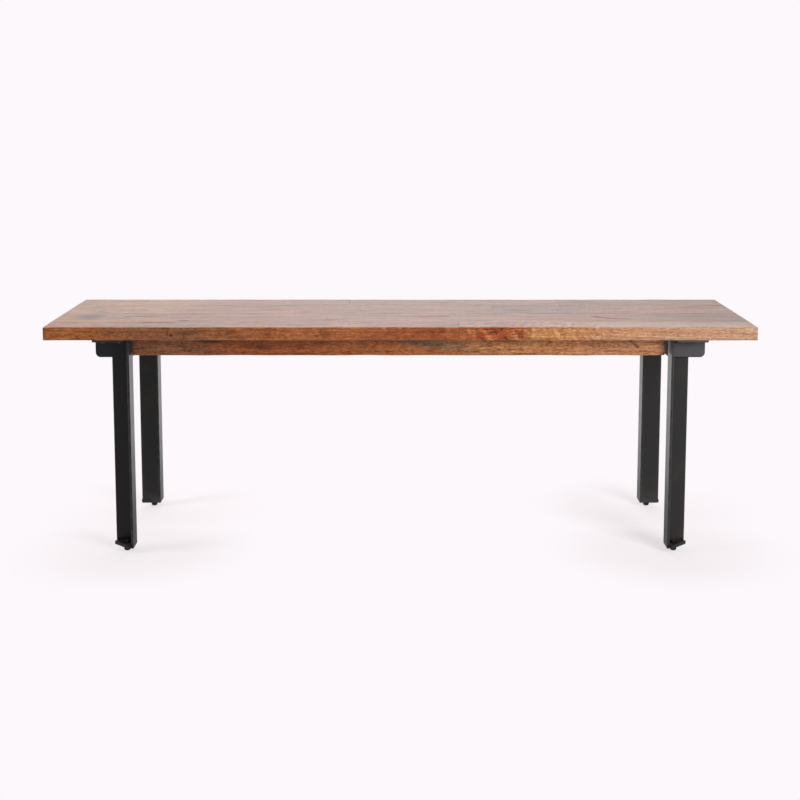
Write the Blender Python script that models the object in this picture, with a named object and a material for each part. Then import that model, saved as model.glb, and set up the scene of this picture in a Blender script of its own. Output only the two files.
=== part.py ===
"""Entryway bench: a glued plank seat and two wooden rails on four angle-iron legs.

Metres, +Z up. The origin is on the floor under the middle of the seat. X runs along the
seat, and the seat's front edge faces -Y. Each leg is an L whose corner points to the
middle of the bench, so everything at a leg is drawn once, in that corner's own (u, v),
with u outward along X and v outward along Y, and is then mirrored to the four corners.
"""
import math

import bmesh
import bpy
from mathutils import Matrix

# Seat.
SEAT_LENGTH = 1.372
SEAT_DEPTH = 0.381
SEAT_HEIGHT = 0.451
SEAT_THICKNESS = 0.0254
FRONT_BOARD_WIDTH = 0.066
REAR_BOARD_WIDTH = 0.088
INNER_SEAM_Y = -0.0135
ARRIS = 0.0008
BUTT_JOINTS = {
    "front": (0.113, 0.386),
    "inner_front": (-0.116,),
    "inner_rear": (-0.217, 0.192),
    "rear": (-0.109, 0.338),
}
BOARD_PLACES = {2: ("left", "right"), 3: ("left", "middle", "right")}

# Rails under the seat.
RAIL_THICKNESS = 0.022
RAIL_HEIGHT = 0.036
RAIL_GAP_LEFT = 0.0018
RAIL_GAP_RIGHT = 0.0072
RAIL_ARRIS = 0.0012
RAIL_SCREW_COUNT = 4
RAIL_SCREW_END = 0.09
RAIL_SCREW_RECESS = 0.012
RAIL_RECESS_CLEARANCE = 0.0008

# Angle iron of the legs, and of the shorter pieces welded to them.
ANGLE_WIDTH = 0.040
ANGLE_THICKNESS = 0.005
ANGLE_ROOT_RADIUS = 0.004
ANGLE_TOE_RADIUS = 0.0025
LEG_END_INSET = 0.1626
LEG_SETBACK = 0.0107
LEG_FLOOR_GAP = 0.0096
BRACKET_LENGTH = 0.065
SHORT_ANGLE_DROP = 0.040
BRACKET_CORNER_RADIUS = 0.009
BRACKET_FLANGE_RADIUS = 0.002
CROSSBAR_SCREW_SPACING = 0.116
CROSSBAR_SCREW_OFFSET = 0.022

# Screws that come up into the seat.
SCREW_RADIUS = 0.0023
SCREW_HEAD_RADIUS = 0.005
SCREW_HEAD_HEIGHT = 0.003
SCREW_BITE = 0.016
SCREW_HOLE_CLEARANCE = 0.0005
SCREW_TIP = 0.0025
BRACKET_SCREW_ENDS = (0.014, 0.046)

# Feet.
FOOT_AXIS = 0.0165
FOOT_PLATE_THICKNESS = 0.006
FOOT_PLATE_OVERHANG = 0.0025
FOOT_PLATE_TIP = 0.004
FOOT_PLATE_ROUNDING = 0.0018
STUD_RADIUS = 0.003
STUD_TIP_HEIGHT = 0.0202
STUD_CHAMFER = 0.0006
STUD_CLEARANCE = 0.0004
NUT_ACROSS_FLATS = 0.010
NUT_HEIGHT = 0.0032
GLIDE_RADIUS = 0.0064
GLIDE_FLAT_RADIUS = 0.0036
GLIDE_HEIGHT = 0.0066
GLIDE_SOCKET_FLOOR = 0.0025
GLIDE_TOP_ROUNDING = 0.0012

# Fits and facets.
TOUCH = 0.0003
GLUE_LINE = 0.0003
HOLE_SIDES = 16
TURNED_SIDES = 32
ARC_STEPS = 4
CUT_SPARE = 0.002

# Places that follow from the sizes above.
UNDERSIDE = SEAT_HEIGHT - SEAT_THICKNESS
STEEL_TOP = UNDERSIDE - TOUCH
CORNER_X = SEAT_LENGTH / 2 - LEG_END_INSET
CORNER_Y = SEAT_DEPTH / 2 - LEG_SETBACK - ANGLE_WIDTH
NEST = ANGLE_THICKNESS + TOUCH
RAIL_FACE_Y = CORNER_Y + NEST + ANGLE_THICKNESS

CORNERS = (
    ("front_left", -1, -1),
    ("front_right", 1, -1),
    ("rear_left", -1, 1),
    ("rear_right", 1, 1),
)


def clear_scene():
    """Start from an empty scene."""
    for old in list(bpy.data.objects):
        bpy.data.objects.remove(old, do_unlink=True)


def make_material(name, colour, roughness, metallic):
    """A plain Principled material."""
    material = bpy.data.materials.new(name)
    material.use_nodes = True
    shader = material.node_tree.nodes["Principled BSDF"]
    shader.inputs["Base Color"].default_value = (*colour, 1.0)
    shader.inputs["Roughness"].default_value = roughness
    shader.inputs["Metallic"].default_value = metallic
    return material


def add_object(name, solid, material, location=(0.0, 0.0, 0.0), parent=None):
    """Turn a bmesh into an object of that name, and free the bmesh."""
    mesh = bpy.data.meshes.new(name)
    solid.to_mesh(mesh)
    solid.free()
    mesh.shade_smooth()
    mesh.set_sharp_from_angle(angle=math.radians(35))
    mesh.materials.append(material)
    return place_mesh(name, mesh, location, parent)


def place_mesh(name, mesh, location, parent=None):
    """Put a mesh in the scene as an object, on a parent if one is given."""
    piece = bpy.data.objects.new(name, mesh)
    bpy.context.scene.collection.objects.link(piece)
    piece.parent = parent
    piece.location = location
    return piece


def add_empty(name, location):
    """An empty that carries the pieces of one foot."""
    empty = bpy.data.objects.new(name, None)
    empty.location = location
    bpy.context.scene.collection.objects.link(empty)
    return empty


def arc(centre, radius, start_deg, end_deg, steps=ARC_STEPS):
    """Points along an arc, both ends included."""
    points = []
    for step in range(steps + 1):
        angle = math.radians(start_deg + (end_deg - start_deg) * step / steps)
        points.append((centre[0] + radius * math.cos(angle), centre[1] + radius * math.sin(angle)))
    return points


def prism(outline, low, high, axes="xyz"):
    """Extrude an outline from low to high.

    axes names where the outline's first and second coordinates and the extrusion go.
    """
    order = ["xyz".index(letter) for letter in axes]
    solid = bmesh.new()
    verts = []
    for point in outline:
        place = [0.0, 0.0, 0.0]
        for value, index in zip((point[0], point[1], low), order):
            place[index] = value
        verts.append(solid.verts.new(place))
    face = solid.faces.new(verts)
    lifted = bmesh.ops.extrude_face_region(solid, geom=[face])
    step = [0.0, 0.0, 0.0]
    step[order[2]] = high - low
    moved = [item for item in lifted["geom"] if isinstance(item, bmesh.types.BMVert)]
    bmesh.ops.translate(solid, verts=moved, vec=step)
    bmesh.ops.recalc_face_normals(solid, faces=solid.faces)
    return solid


def box(low, high, arris=0.0):
    """A box between two corners, with its edges eased."""
    outline = ((low[0], low[1]), (high[0], low[1]), (high[0], high[1]), (low[0], high[1]))
    solid = prism(outline, low[2], high[2])
    if arris:
        bmesh.ops.bevel(solid, geom=solid.edges[:], offset=arris, segments=1, affect="EDGES")
    return solid


def turned(profile, sides=TURNED_SIDES):
    """Turn a closed profile of (radius, height) points about Z. Radius 0 lies on the axis."""
    solid = bmesh.new()
    verts = [solid.verts.new((radius, 0.0, height)) for radius, height in profile]
    edges = [solid.edges.new(pair) for pair in zip(verts, verts[1:] + verts[:1])]
    bmesh.ops.spin(solid, geom=verts + edges, axis=(0, 0, 1), cent=(0, 0, 0),
                   angle=2 * math.pi, steps=sides, use_merge=True)
    bmesh.ops.remove_doubles(solid, verts=solid.verts, dist=1e-6)
    flat = [face for face in solid.faces if face.calc_area() < 1e-12]
    bmesh.ops.delete(solid, geom=flat, context="FACES_ONLY")
    loose = [edge for edge in solid.edges if not edge.link_faces]
    bmesh.ops.delete(solid, geom=loose, context="EDGES")
    bmesh.ops.recalc_face_normals(solid, faces=solid.faces)
    return solid


def to_corner(solid, side_x, side_y):
    """Mirror a solid drawn in (u, v, z) to the side of the bench that it belongs to."""
    bmesh.ops.transform(solid, matrix=Matrix.Diagonal((side_x, side_y, 1.0, 1.0)), verts=solid.verts)
    if side_x * side_y < 0:
        bmesh.ops.reverse_faces(solid, faces=solid.faces)
    return solid


def corner_place(side_x, side_y, u=0.0, v=0.0):
    """World (x, y) of a point given in a corner's own (u, v)."""
    return side_x * (CORNER_X + u), side_y * (CORNER_Y + v)


def drill(target, centres, radius, low, high):
    """Cut upright round holes from low to high in target, one at each world (x, y)."""
    solid = bmesh.new()
    for x, y in centres:
        middle = Matrix.Translation((x, y, (low + high) / 2))
        bmesh.ops.create_cone(solid, cap_ends=True, segments=HOLE_SIDES, radius1=radius,
                              radius2=radius, depth=high - low, matrix=middle)
    subtract(target, solid)


def subtract(target, solid):
    """Take a solid in world coordinates away from target."""
    mesh = bpy.data.meshes.new("cutter")
    solid.to_mesh(mesh)
    solid.free()
    cutter = place_mesh("cutter", mesh, (0.0, 0.0, 0.0))
    cutter.hide_render = True
    cutter.display_type = "WIRE"
    cut = target.modifiers.new("cut", "BOOLEAN")
    cut.operation = "DIFFERENCE"
    cut.solver = "EXACT"
    cut.object = cutter


def bracket_screw_places(side_x, side_y):
    """World (x, y) of the two screws through one bracket's seat flange."""
    middle = NEST + (ANGLE_THICKNESS + ANGLE_WIDTH) / 2
    return [corner_place(side_x, side_y, NEST + along, middle) for along in BRACKET_SCREW_ENDS]


def crossbar_screw_places(side_x):
    """World (x, y) of the two screws through one crossbar's seat flange."""
    x = side_x * (CORNER_X + CROSSBAR_SCREW_OFFSET)
    return [(x, -CROSSBAR_SCREW_SPACING / 2), (x, CROSSBAR_SCREW_SPACING / 2)]


def rail_ends():
    """World x of a rail's left and right ends."""
    return -CORNER_X + RAIL_GAP_LEFT, CORNER_X - RAIL_GAP_RIGHT


def rail_screw_places(side_y):
    """World (x, y) of the screws along one rail."""
    left, right = rail_ends()
    first = left + RAIL_SCREW_END
    step = (right - left - 2 * RAIL_SCREW_END) / (RAIL_SCREW_COUNT - 1)
    y = side_y * (RAIL_FACE_Y - RAIL_THICKNESS / 2)
    return [(first + step * index, y) for index in range(RAIL_SCREW_COUNT)]


def all_screw_places():
    """World (x, y) of every screw that bites into the seat."""
    places = []
    for _, side_x, side_y in CORNERS:
        places += bracket_screw_places(side_x, side_y)
    for side in (-1, 1):
        places += crossbar_screw_places(side)
        places += rail_screw_places(side)
    return places


def build_seat(wood):
    """The seat: four rows of boards, each row butted end to end at its own places."""
    half = GLUE_LINE / 2
    edge = SEAT_DEPTH / 2
    seams = (-edge, -edge + FRONT_BOARD_WIDTH, INNER_SEAM_Y, edge - REAR_BOARD_WIDTH, edge)
    for row, near, far in zip(BUTT_JOINTS, seams[:-1], seams[1:]):
        ends = (-SEAT_LENGTH / 2, *BUTT_JOINTS[row], SEAT_LENGTH / 2)
        names = BOARD_PLACES[len(ends) - 1]
        for name, left, right in zip(names, ends[:-1], ends[1:]):
            low = (left + half, near + half, UNDERSIDE)
            high = (right - half, far - half, SEAT_HEIGHT)
            board = add_object(f"board_{row}_{name}", box(low, high, ARRIS), wood)
            drill_pilots(board, low, high)


def drill_pilots(board, low, high):
    """Cut the blind pilot hole of each screw that meets this board."""
    radius = SCREW_RADIUS + SCREW_HOLE_CLEARANCE
    met = []
    for x, y in all_screw_places():
        if low[0] - radius < x < high[0] + radius and low[1] - radius < y < high[1] + radius:
            met.append((x, y))
    if met:
        drill(board, met, radius, UNDERSIDE - CUT_SPARE, UNDERSIDE + SCREW_BITE + SCREW_HOLE_CLEARANCE)


def screw(head_seat, sides=HOLE_SIDES):
    """A round-headed screw whose head bears upward at head_seat and whose tip bites the seat."""
    top = UNDERSIDE + SCREW_BITE
    under = head_seat - TOUCH
    bottom = under - SCREW_HEAD_HEIGHT
    crown = arc((SCREW_HEAD_RADIUS - SCREW_HEAD_HEIGHT / 2, bottom + SCREW_HEAD_HEIGHT / 2),
                SCREW_HEAD_HEIGHT / 2, -90, 0, 3)
    profile = [(0.0, bottom), *crown, (SCREW_HEAD_RADIUS, under), (SCREW_RADIUS, under),
               (SCREW_RADIUS, top - SCREW_TIP), (0.0, top)]
    return turned(profile, sides)


def add_screws(name, places, head_seat, steel):
    """Like screws, one object at each place, on one shared mesh."""
    for number, (x, y) in enumerate(places, start=1):
        if number == 1:
            first = add_object(f"{name}_{number}", screw(head_seat), steel, (x, y, 0.0))
        else:
            place_mesh(f"{name}_{number}", first.data, (x, y, 0.0))


def build_rails(wood, steel):
    """A rail along the front and one along the rear, each screwed up into the seat."""
    left, right = rail_ends()
    bottom = STEEL_TOP - RAIL_HEIGHT
    for name, side_y in (("front", -1), ("rear", 1)):
        faces = sorted((side_y * RAIL_FACE_Y, side_y * (RAIL_FACE_Y - RAIL_THICKNESS)))
        solid = box((left, faces[0], bottom), (right, faces[1], STEEL_TOP), RAIL_ARRIS)
        rail = add_object(f"{name}_rail", solid, wood)
        places = rail_screw_places(side_y)
        drill(rail, places, SCREW_RADIUS + SCREW_HOLE_CLEARANCE, bottom - CUT_SPARE, STEEL_TOP + CUT_SPARE)
        recess_top = bottom + RAIL_SCREW_RECESS
        drill(rail, places, SCREW_HEAD_RADIUS + RAIL_RECESS_CLEARANCE, bottom - CUT_SPARE, recess_top)
        add_screws(f"rail_screw_{name}", places, recess_top, steel)


def angle_outline(first, second):
    """Section of angle iron: flanges of two lengths, a round root and round toes."""
    toe = ANGLE_TOE_RADIUS
    root = ANGLE_THICKNESS + ANGLE_ROOT_RADIUS
    outline = [(0.0, 0.0), (first, 0.0)]
    outline += arc((first - toe, ANGLE_THICKNESS - toe), toe, 0, 90, 3)
    outline += arc((root, root), ANGLE_ROOT_RADIUS, 270, 180)
    outline += arc((ANGLE_THICKNESS - toe, second - toe), toe, 0, 90, 3)
    outline.append((0.0, second))
    return outline


def bracket_solid():
    """A short piece of angle nested in the top of a leg, running outward past it."""
    clear = NEST + ANGLE_ROOT_RADIUS
    end = NEST + BRACKET_LENGTH
    small = BRACKET_FLANGE_RADIUS
    reach = NEST + ANGLE_WIDTH
    plan = [(clear, NEST), (end, NEST)]
    plan += arc((end - small, reach - small), small, 0, 90, 2)
    plan += [(NEST, reach), (NEST, clear)]
    flange = prism(plan, STEEL_TOP - ANGLE_THICKNESS, STEEL_TOP)
    radius = BRACKET_CORNER_RADIUS
    foot = STEEL_TOP - SHORT_ANGLE_DROP
    middle = STEEL_TOP - ANGLE_THICKNESS / 2
    face = [(clear, middle), (clear, foot)]
    face += arc((end - radius, foot + radius), radius, -90, 0, 6)
    face.append((end, middle))
    web = prism(face, NEST, NEST + ANGLE_THICKNESS, "xzy")
    return flange, web


def add_bracket(corner, side_x, side_y, iron, steel):
    """One bracket: its seat flange and its web, joined, with its two screws."""
    flange, web = bracket_solid()
    x, y = corner_place(side_x, side_y)
    bracket = add_object(f"leg_bracket_{corner}", to_corner(flange, side_x, side_y), iron, (x, y, 0.0))
    mesh = bpy.data.meshes.new("web")
    to_corner(web, side_x, side_y).to_mesh(mesh)
    web.free()
    part = place_mesh("web", mesh, (x, y, 0.0))
    part.hide_render = True
    part.display_type = "WIRE"
    join = bracket.modifiers.new("web", "BOOLEAN")
    join.operation = "UNION"
    join.solver = "EXACT"
    join.object = part
    places = bracket_screw_places(side_x, side_y)
    seat = STEEL_TOP - ANGLE_THICKNESS
    drill(bracket, places, SCREW_RADIUS + SCREW_HOLE_CLEARANCE, seat - CUT_SPARE, STEEL_TOP + CUT_SPARE)
    add_screws(f"bracket_screw_{corner}", places, seat, steel)


def build_crossbars(iron, steel):
    """The angle between the front and rear leg at each end, its seat flange turned outward."""
    length = 2 * (CORNER_Y - TOUCH)
    for name, side_x in (("left", -1), ("right", 1)):
        outline = [(u, STEEL_TOP - drop) for u, drop in angle_outline(ANGLE_WIDTH, SHORT_ANGLE_DROP)]
        solid = to_corner(prism(outline, -length / 2, length / 2, "xzy"), side_x, 1)
        crossbar = add_object(f"crossbar_{name}", solid, iron, (side_x * CORNER_X, 0.0, 0.0))
        places = crossbar_screw_places(side_x)
        seat = STEEL_TOP - ANGLE_THICKNESS
        drill(crossbar, places, SCREW_RADIUS + SCREW_HOLE_CLEARANCE, seat - CUT_SPARE, STEEL_TOP + CUT_SPARE)
        add_screws(f"crossbar_screw_{name}", places, seat, steel)


def foot_plate_solid():
    """The plate that closes the L at its foot, cut diagonally from flange tip to flange tip."""
    clear = NEST + ANGLE_ROOT_RADIUS
    tip = ANGLE_WIDTH + FOOT_PLATE_OVERHANG
    shoulder = NEST + FOOT_PLATE_TIP
    outline = [(clear, NEST), (tip, NEST), (tip, shoulder), (shoulder, tip), (NEST, tip), (NEST, clear)]
    solid = prism(outline, LEG_FLOOR_GAP, LEG_FLOOR_GAP + FOOT_PLATE_THICKNESS)
    tips = []
    for edge in solid.edges:
        first, second = (vert.co for vert in edge.verts)
        upright = abs(first.x - second.x) + abs(first.y - second.y) < 1e-6
        if upright and max(first.x, first.y) > ANGLE_WIDTH:
            tips.append(edge)
    bmesh.ops.bevel(solid, geom=tips, offset=FOOT_PLATE_ROUNDING, segments=3, affect="EDGES",
                    clamp_overlap=True)
    return solid


def nut_solid():
    """A thin hexagon nut with its bore."""
    low = LEG_FLOOR_GAP + FOOT_PLATE_THICKNESS + TOUCH
    radius = NUT_ACROSS_FLATS / math.sqrt(3)
    outline = [(radius * math.cos(math.radians(60 * k)), radius * math.sin(math.radians(60 * k)))
               for k in range(6)]
    return prism(outline, low, low + NUT_HEIGHT)


def stud_solid():
    """The stud of a foot, chamfered at its tip."""
    low = GLIDE_SOCKET_FLOOR + TOUCH
    profile = [(0.0, low), (STUD_RADIUS, low), (STUD_RADIUS, STUD_TIP_HEIGHT - STUD_CHAMFER),
               (STUD_RADIUS - STUD_CHAMFER, STUD_TIP_HEIGHT), (0.0, STUD_TIP_HEIGHT)]
    return turned(profile)


def glide_solid():
    """A domed glide with a socket that the stud turns in."""
    socket = STUD_RADIUS + STUD_CLEARANCE
    rise = GLIDE_HEIGHT - GLIDE_TOP_ROUNDING
    bulge = []
    for step in range(6):
        angle = math.radians(90 * step / 5)
        radius = GLIDE_FLAT_RADIUS + (GLIDE_RADIUS - GLIDE_FLAT_RADIUS) * math.sin(angle)
        bulge.append((radius, 0.7 * rise * (1 - math.cos(angle))))
    shoulder = arc((GLIDE_RADIUS - GLIDE_TOP_ROUNDING, rise), GLIDE_TOP_ROUNDING, 0, 90, 3)
    profile = [(0.0, 0.0), *bulge, *shoulder, (socket, GLIDE_HEIGHT), (socket, GLIDE_SOCKET_FLOOR),
               (0.0, GLIDE_SOCKET_FLOOR)]
    return turned(profile)


def build_corner(corner, side_x, side_y, finishes):
    """One leg with its bracket, foot plate, nut, stud and glide."""
    x, y = corner_place(side_x, side_y)
    leg = to_corner(prism(angle_outline(ANGLE_WIDTH, ANGLE_WIDTH), LEG_FLOOR_GAP, STEEL_TOP), side_x, side_y)
    add_object(f"leg_{corner}", leg, finishes["iron"], (x, y, 0.0))
    add_bracket(corner, side_x, side_y, finishes["iron"], finishes["steel"])

    axis = corner_place(side_x, side_y, FOOT_AXIS, FOOT_AXIS)
    bore = STUD_RADIUS + STUD_CLEARANCE
    plate = to_corner(foot_plate_solid(), side_x, side_y)
    plate_piece = add_object(f"foot_plate_{corner}", plate, finishes["iron"], (x, y, 0.0))
    cut_top = STUD_TIP_HEIGHT + CUT_SPARE
    drill(plate_piece, [axis], bore, LEG_FLOOR_GAP - CUT_SPARE, cut_top)

    foot = add_empty(f"foot_axis_{corner}", (*axis, 0.0))
    nut = add_object(f"foot_nut_{corner}", nut_solid(), finishes["iron"], parent=foot)
    drill(nut, [axis], bore, LEG_FLOOR_GAP, cut_top)
    add_object(f"foot_stud_{corner}", stud_solid(), finishes["zinc"], parent=foot)
    add_object(f"foot_glide_{corner}", glide_solid(), finishes["glide"], parent=foot)


def build_bench():
    """Make every piece of the bench."""
    clear_scene()
    finishes = {
        "wood": make_material("stained_wood", (0.34, 0.13, 0.05), 0.45, 0.0),
        "iron": make_material("black_iron", (0.018, 0.018, 0.019), 0.5, 0.3),
        "steel": make_material("black_screw_steel", (0.05, 0.05, 0.052), 0.4, 0.9),
        "zinc": make_material("zinc_plate", (0.72, 0.73, 0.74), 0.3, 1.0),
        "glide": make_material("black_nylon", (0.012, 0.012, 0.012), 0.55, 0.0),
    }
    build_seat(finishes["wood"])
    build_rails(finishes["wood"], finishes["steel"])
    build_crossbars(finishes["iron"], finishes["steel"])
    for corner, side_x, side_y in CORNERS:
        build_corner(corner, side_x, side_y, finishes)


build_bench()
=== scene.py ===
"""Looks of the entryway bench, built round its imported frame.

Four rows of solid, oiled boards make the seat. It is screwed to two wooden rails and to a frame of
black angle iron, whose four legs stand on small screw feet. Each class below makes one sub-assembly:
its dataclass fields hold the sizes of the maker's details, its methods work the surfaces out with
numpy, and the finish classes dress them with procedural nodes. Lengths are in metres throughout.
"""

import logging
import math
from dataclasses import dataclass, field
from enum import Enum

import bpy
import numpy as np
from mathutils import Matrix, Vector

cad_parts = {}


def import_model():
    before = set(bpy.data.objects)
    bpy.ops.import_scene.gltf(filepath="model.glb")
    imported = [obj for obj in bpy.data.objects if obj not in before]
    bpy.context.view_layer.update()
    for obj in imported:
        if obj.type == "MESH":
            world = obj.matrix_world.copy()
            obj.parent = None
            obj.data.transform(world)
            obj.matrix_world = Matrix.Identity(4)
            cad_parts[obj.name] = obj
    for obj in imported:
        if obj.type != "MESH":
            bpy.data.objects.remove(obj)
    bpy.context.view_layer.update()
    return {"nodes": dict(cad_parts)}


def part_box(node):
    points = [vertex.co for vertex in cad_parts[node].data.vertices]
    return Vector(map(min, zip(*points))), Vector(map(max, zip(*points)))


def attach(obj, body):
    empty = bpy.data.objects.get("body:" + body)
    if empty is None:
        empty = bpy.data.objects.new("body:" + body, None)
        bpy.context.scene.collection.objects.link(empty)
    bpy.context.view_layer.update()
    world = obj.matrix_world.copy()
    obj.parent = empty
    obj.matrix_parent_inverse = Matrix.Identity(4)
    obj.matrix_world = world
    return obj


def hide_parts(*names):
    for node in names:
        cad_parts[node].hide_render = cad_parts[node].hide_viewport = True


LOG = logging.getLogger("bench")
FRAME_BODY = "bench_frame"

Vec3 = tuple[float, float, float]
Rgb = tuple[float, float, float]
Pair = tuple[float, float]
Socket = bpy.types.NodeSocket
Material = bpy.types.Material
Piece = bpy.types.Object


# ---------------------------------------------------------------------------------------------
# Frame measures
# ---------------------------------------------------------------------------------------------


@dataclass(frozen=True)
class Block:
    """The box that a node of the frame holds at rest.

    Attributes:
        low: Lowest corner.
        high: Highest corner.
    """

    low: np.ndarray
    high: np.ndarray

    @classmethod
    def of(cls, *nodes: str) -> "Block":
        """Read the box round one or more nodes of the frame."""
        boxes = [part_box(node) for node in nodes]
        low = np.min([np.array(box[0]) for box in boxes], axis=0)
        high = np.max([np.array(box[1]) for box in boxes], axis=0)
        return cls(low, high)

    @property
    def middle(self) -> np.ndarray:
        """Centre of the box."""
        return (self.low + self.high) / 2


@dataclass(frozen=True)
class Corner:
    """One corner of the bench, where a leg stands.

    Attributes:
        name: The corner's name, as the frame's nodes end.
        side_x: 1 on the right, -1 on the left.
        side_y: 1 at the rear, -1 at the front.
        heel: World (x, y) of the outer vertex of the leg's angle iron, which faces the middle.
    """

    name: str
    side_x: int
    side_y: int
    heel: Pair

    @classmethod
    def read(cls, name: str) -> "Corner":
        """Find a corner from the box of its leg."""
        leg = Block.of(f"leg_{name}")
        side_x = int(np.sign(leg.middle[0]))
        side_y = int(np.sign(leg.middle[1]))
        heel_x = side_x * min(abs(leg.low[0]), abs(leg.high[0]))
        heel_y = side_y * min(abs(leg.low[1]), abs(leg.high[1]))
        return cls(name, side_x, side_y, (heel_x, heel_y))

    def place(self, u: np.ndarray, v: np.ndarray, z: np.ndarray) -> np.ndarray:
        """World points from distances outward along X (u) and Y (v) from the heel, and heights.

        Args:
            u: Distances from the heel along X, away from the middle.
            v: Distances from the heel along Y, away from the middle.
            z: Heights above the floor.

        Returns:
            The points, with x, y and z along the last axis.
        """
        u, v, z = np.broadcast_arrays(u, v, z)
        return np.stack([self.heel[0] + self.side_x * u, self.heel[1] + self.side_y * v, z], axis=-1)


# ---------------------------------------------------------------------------------------------
# Surfaces
# ---------------------------------------------------------------------------------------------


def signed_volume(points: np.ndarray, quads: np.ndarray, caps: list[np.ndarray]) -> float:
    """Volume inside a closed surface: the sum over its triangles of a·(b×c)/6.

    Args:
        points: Vertices, one row each.
        quads: Vertex indices of the four-sided faces.
        caps: Vertex indices of each end face.

    Returns:
        The volume, negative where the faces point inwards.
    """
    fans = [np.stack([quads[:, 0], quads[:, 1], quads[:, 2]], 1)]
    fans.append(np.stack([quads[:, 0], quads[:, 2], quads[:, 3]], 1))
    for cap in caps:
        fans.append(np.stack([np.full(len(cap) - 2, cap[0]), cap[1:-1], cap[2:]], 1))
    corners = points[np.concatenate(fans)]
    return float(np.einsum("ij,ij->i", corners[:, 0], np.cross(corners[:, 1], corners[:, 2])).sum() / 6)


def skin(
    name: str,
    rings: np.ndarray,
    marks: dict[str, np.ndarray] | None = None,
    capped: bool = True,
    sharp: float = 38.0,
) -> Piece:
    """Make a closed mesh of a grid of rings: neighbours on the grid are joined by quads.

    The grid closes round its second index. Its first index ends in two flat caps, or closes on
    itself too, as on a ring with a hole. Faces are turned so that the volume inside is positive.

    Args:
        name: Name of the new piece.
        rings: Points as (ring, point on the ring, xyz).
        marks: Values at each point of the grid, kept on the mesh as attributes of those names.
        capped: False where the last ring joins the first.
        sharp: Angle in degrees above which an edge is shaded sharp.

    Returns:
        The new object, linked to the scene.
    """
    count, around, _ = rings.shape
    index = np.arange(count * around).reshape(count, around)
    near = index[:-1] if capped else index
    far = index[1:] if capped else np.roll(index, -1, axis=0)
    quads = np.stack([near, np.roll(near, -1, 1), np.roll(far, -1, 1), far], -1).reshape(-1, 4)
    caps = [index[0][::-1], index[-1]] if capped else []
    points = rings.reshape(-1, 3)
    if signed_volume(points - points.mean(0), quads, caps) < 0:
        quads = quads[:, ::-1]
        caps = [cap[::-1] for cap in caps]
    loops = np.concatenate([quads.ravel(), *caps]).astype(np.int32)
    sizes = np.array([4] * len(quads) + [len(cap) for cap in caps], np.int32)
    starts = np.concatenate([[0], np.cumsum(sizes)[:-1]]).astype(np.int32)
    mesh = bpy.data.meshes.new(name)
    mesh.vertices.add(len(points))
    mesh.vertices.foreach_set("co", points.astype(np.float32).ravel())
    mesh.loops.add(len(loops))
    mesh.loops.foreach_set("vertex_index", loops)
    mesh.polygons.add(len(sizes))
    mesh.polygons.foreach_set("loop_start", starts)
    mesh.polygons.foreach_set("loop_total", sizes)
    mesh.update(calc_edges=True)
    mesh.validate()
    for mark, values in (marks or {}).items():
        layer = mesh.attributes.new(mark, "FLOAT", "POINT")
        layer.data.foreach_set("value", values.reshape(-1).astype(np.float32))
    mesh.shade_smooth()
    mesh.set_sharp_from_angle(angle=math.radians(sharp))
    piece = bpy.data.objects.new(name, mesh)
    bpy.context.scene.collection.objects.link(piece)
    return piece


def join(name: str, shells: list[Piece]) -> Piece:
    """Join several closed shells into one piece of that name, keeping their attributes."""
    with bpy.context.temp_override(active_object=shells[0], selected_editable_objects=shells):
        bpy.ops.object.join()
    shells[0].name = name
    shells[0].data.name = name
    return shells[0]


def rounded_loop(corners: list[Pair], radii: list[float], step: float, arc_points: int = 6) -> np.ndarray:
    """A closed outline with a round at every corner and evenly divided straights between them.

    At a corner whose sides open at an angle, the arc's centre lies on their bisector at the radius
    over the sine of half that angle. The arc's points come from turning the first touching radius
    towards the second. Each straight also gets a point close to either end, which keeps the flat
    face beside a round evenly shaded.

    Args:
        corners: Corner points in order round the outline.
        radii: Radius at each corner, also for inward corners.
        step: Longest stretch between points on a straight.
        arc_points: Points on each arc.

    Returns:
        The outline's points, one row each.
    """
    centre_points = np.array(corners, float)
    radius = np.array(radii, float)[:, None]
    back = np.roll(centre_points, 1, 0) - centre_points
    ahead = np.roll(centre_points, -1, 0) - centre_points
    back /= np.linalg.norm(back, axis=1, keepdims=True)
    ahead /= np.linalg.norm(ahead, axis=1, keepdims=True)
    opening = np.arccos(np.clip((back * ahead).sum(1), -1, 1))[:, None]
    bisector = back + ahead
    bisector /= np.linalg.norm(bisector, axis=1, keepdims=True)
    centres = centre_points + bisector * radius / np.sin(opening / 2)
    starts = centre_points + back * radius / np.tan(opening / 2)
    spoke = starts - centres
    turn = np.sign(back[:, 1] * ahead[:, 0] - back[:, 0] * ahead[:, 1])[:, None]
    angles = np.linspace(0, 1, arc_points)[None, :] * (math.pi - opening) * turn
    cos, sin = np.cos(angles), np.sin(angles)
    arcs = np.stack([
        centres[:, :1] + spoke[:, :1] * cos - spoke[:, 1:] * sin,
        centres[:, 1:] + spoke[:, :1] * sin + spoke[:, 1:] * cos,
    ], -1)
    runs = []
    for index, arc in enumerate(arcs):
        runs.append(arc)
        target = arcs[(index + 1) % len(arcs)][0]
        length = float(np.linalg.norm(target - arc[-1]))
        support = min(0.0006, length / 4)
        inner = np.linspace(support, length - support, max(2, int(math.ceil(length / step)) + 1))
        runs.append(arc[-1] + (target - arc[-1]) * (inner / length)[:, None])
    return np.concatenate(runs)


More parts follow.
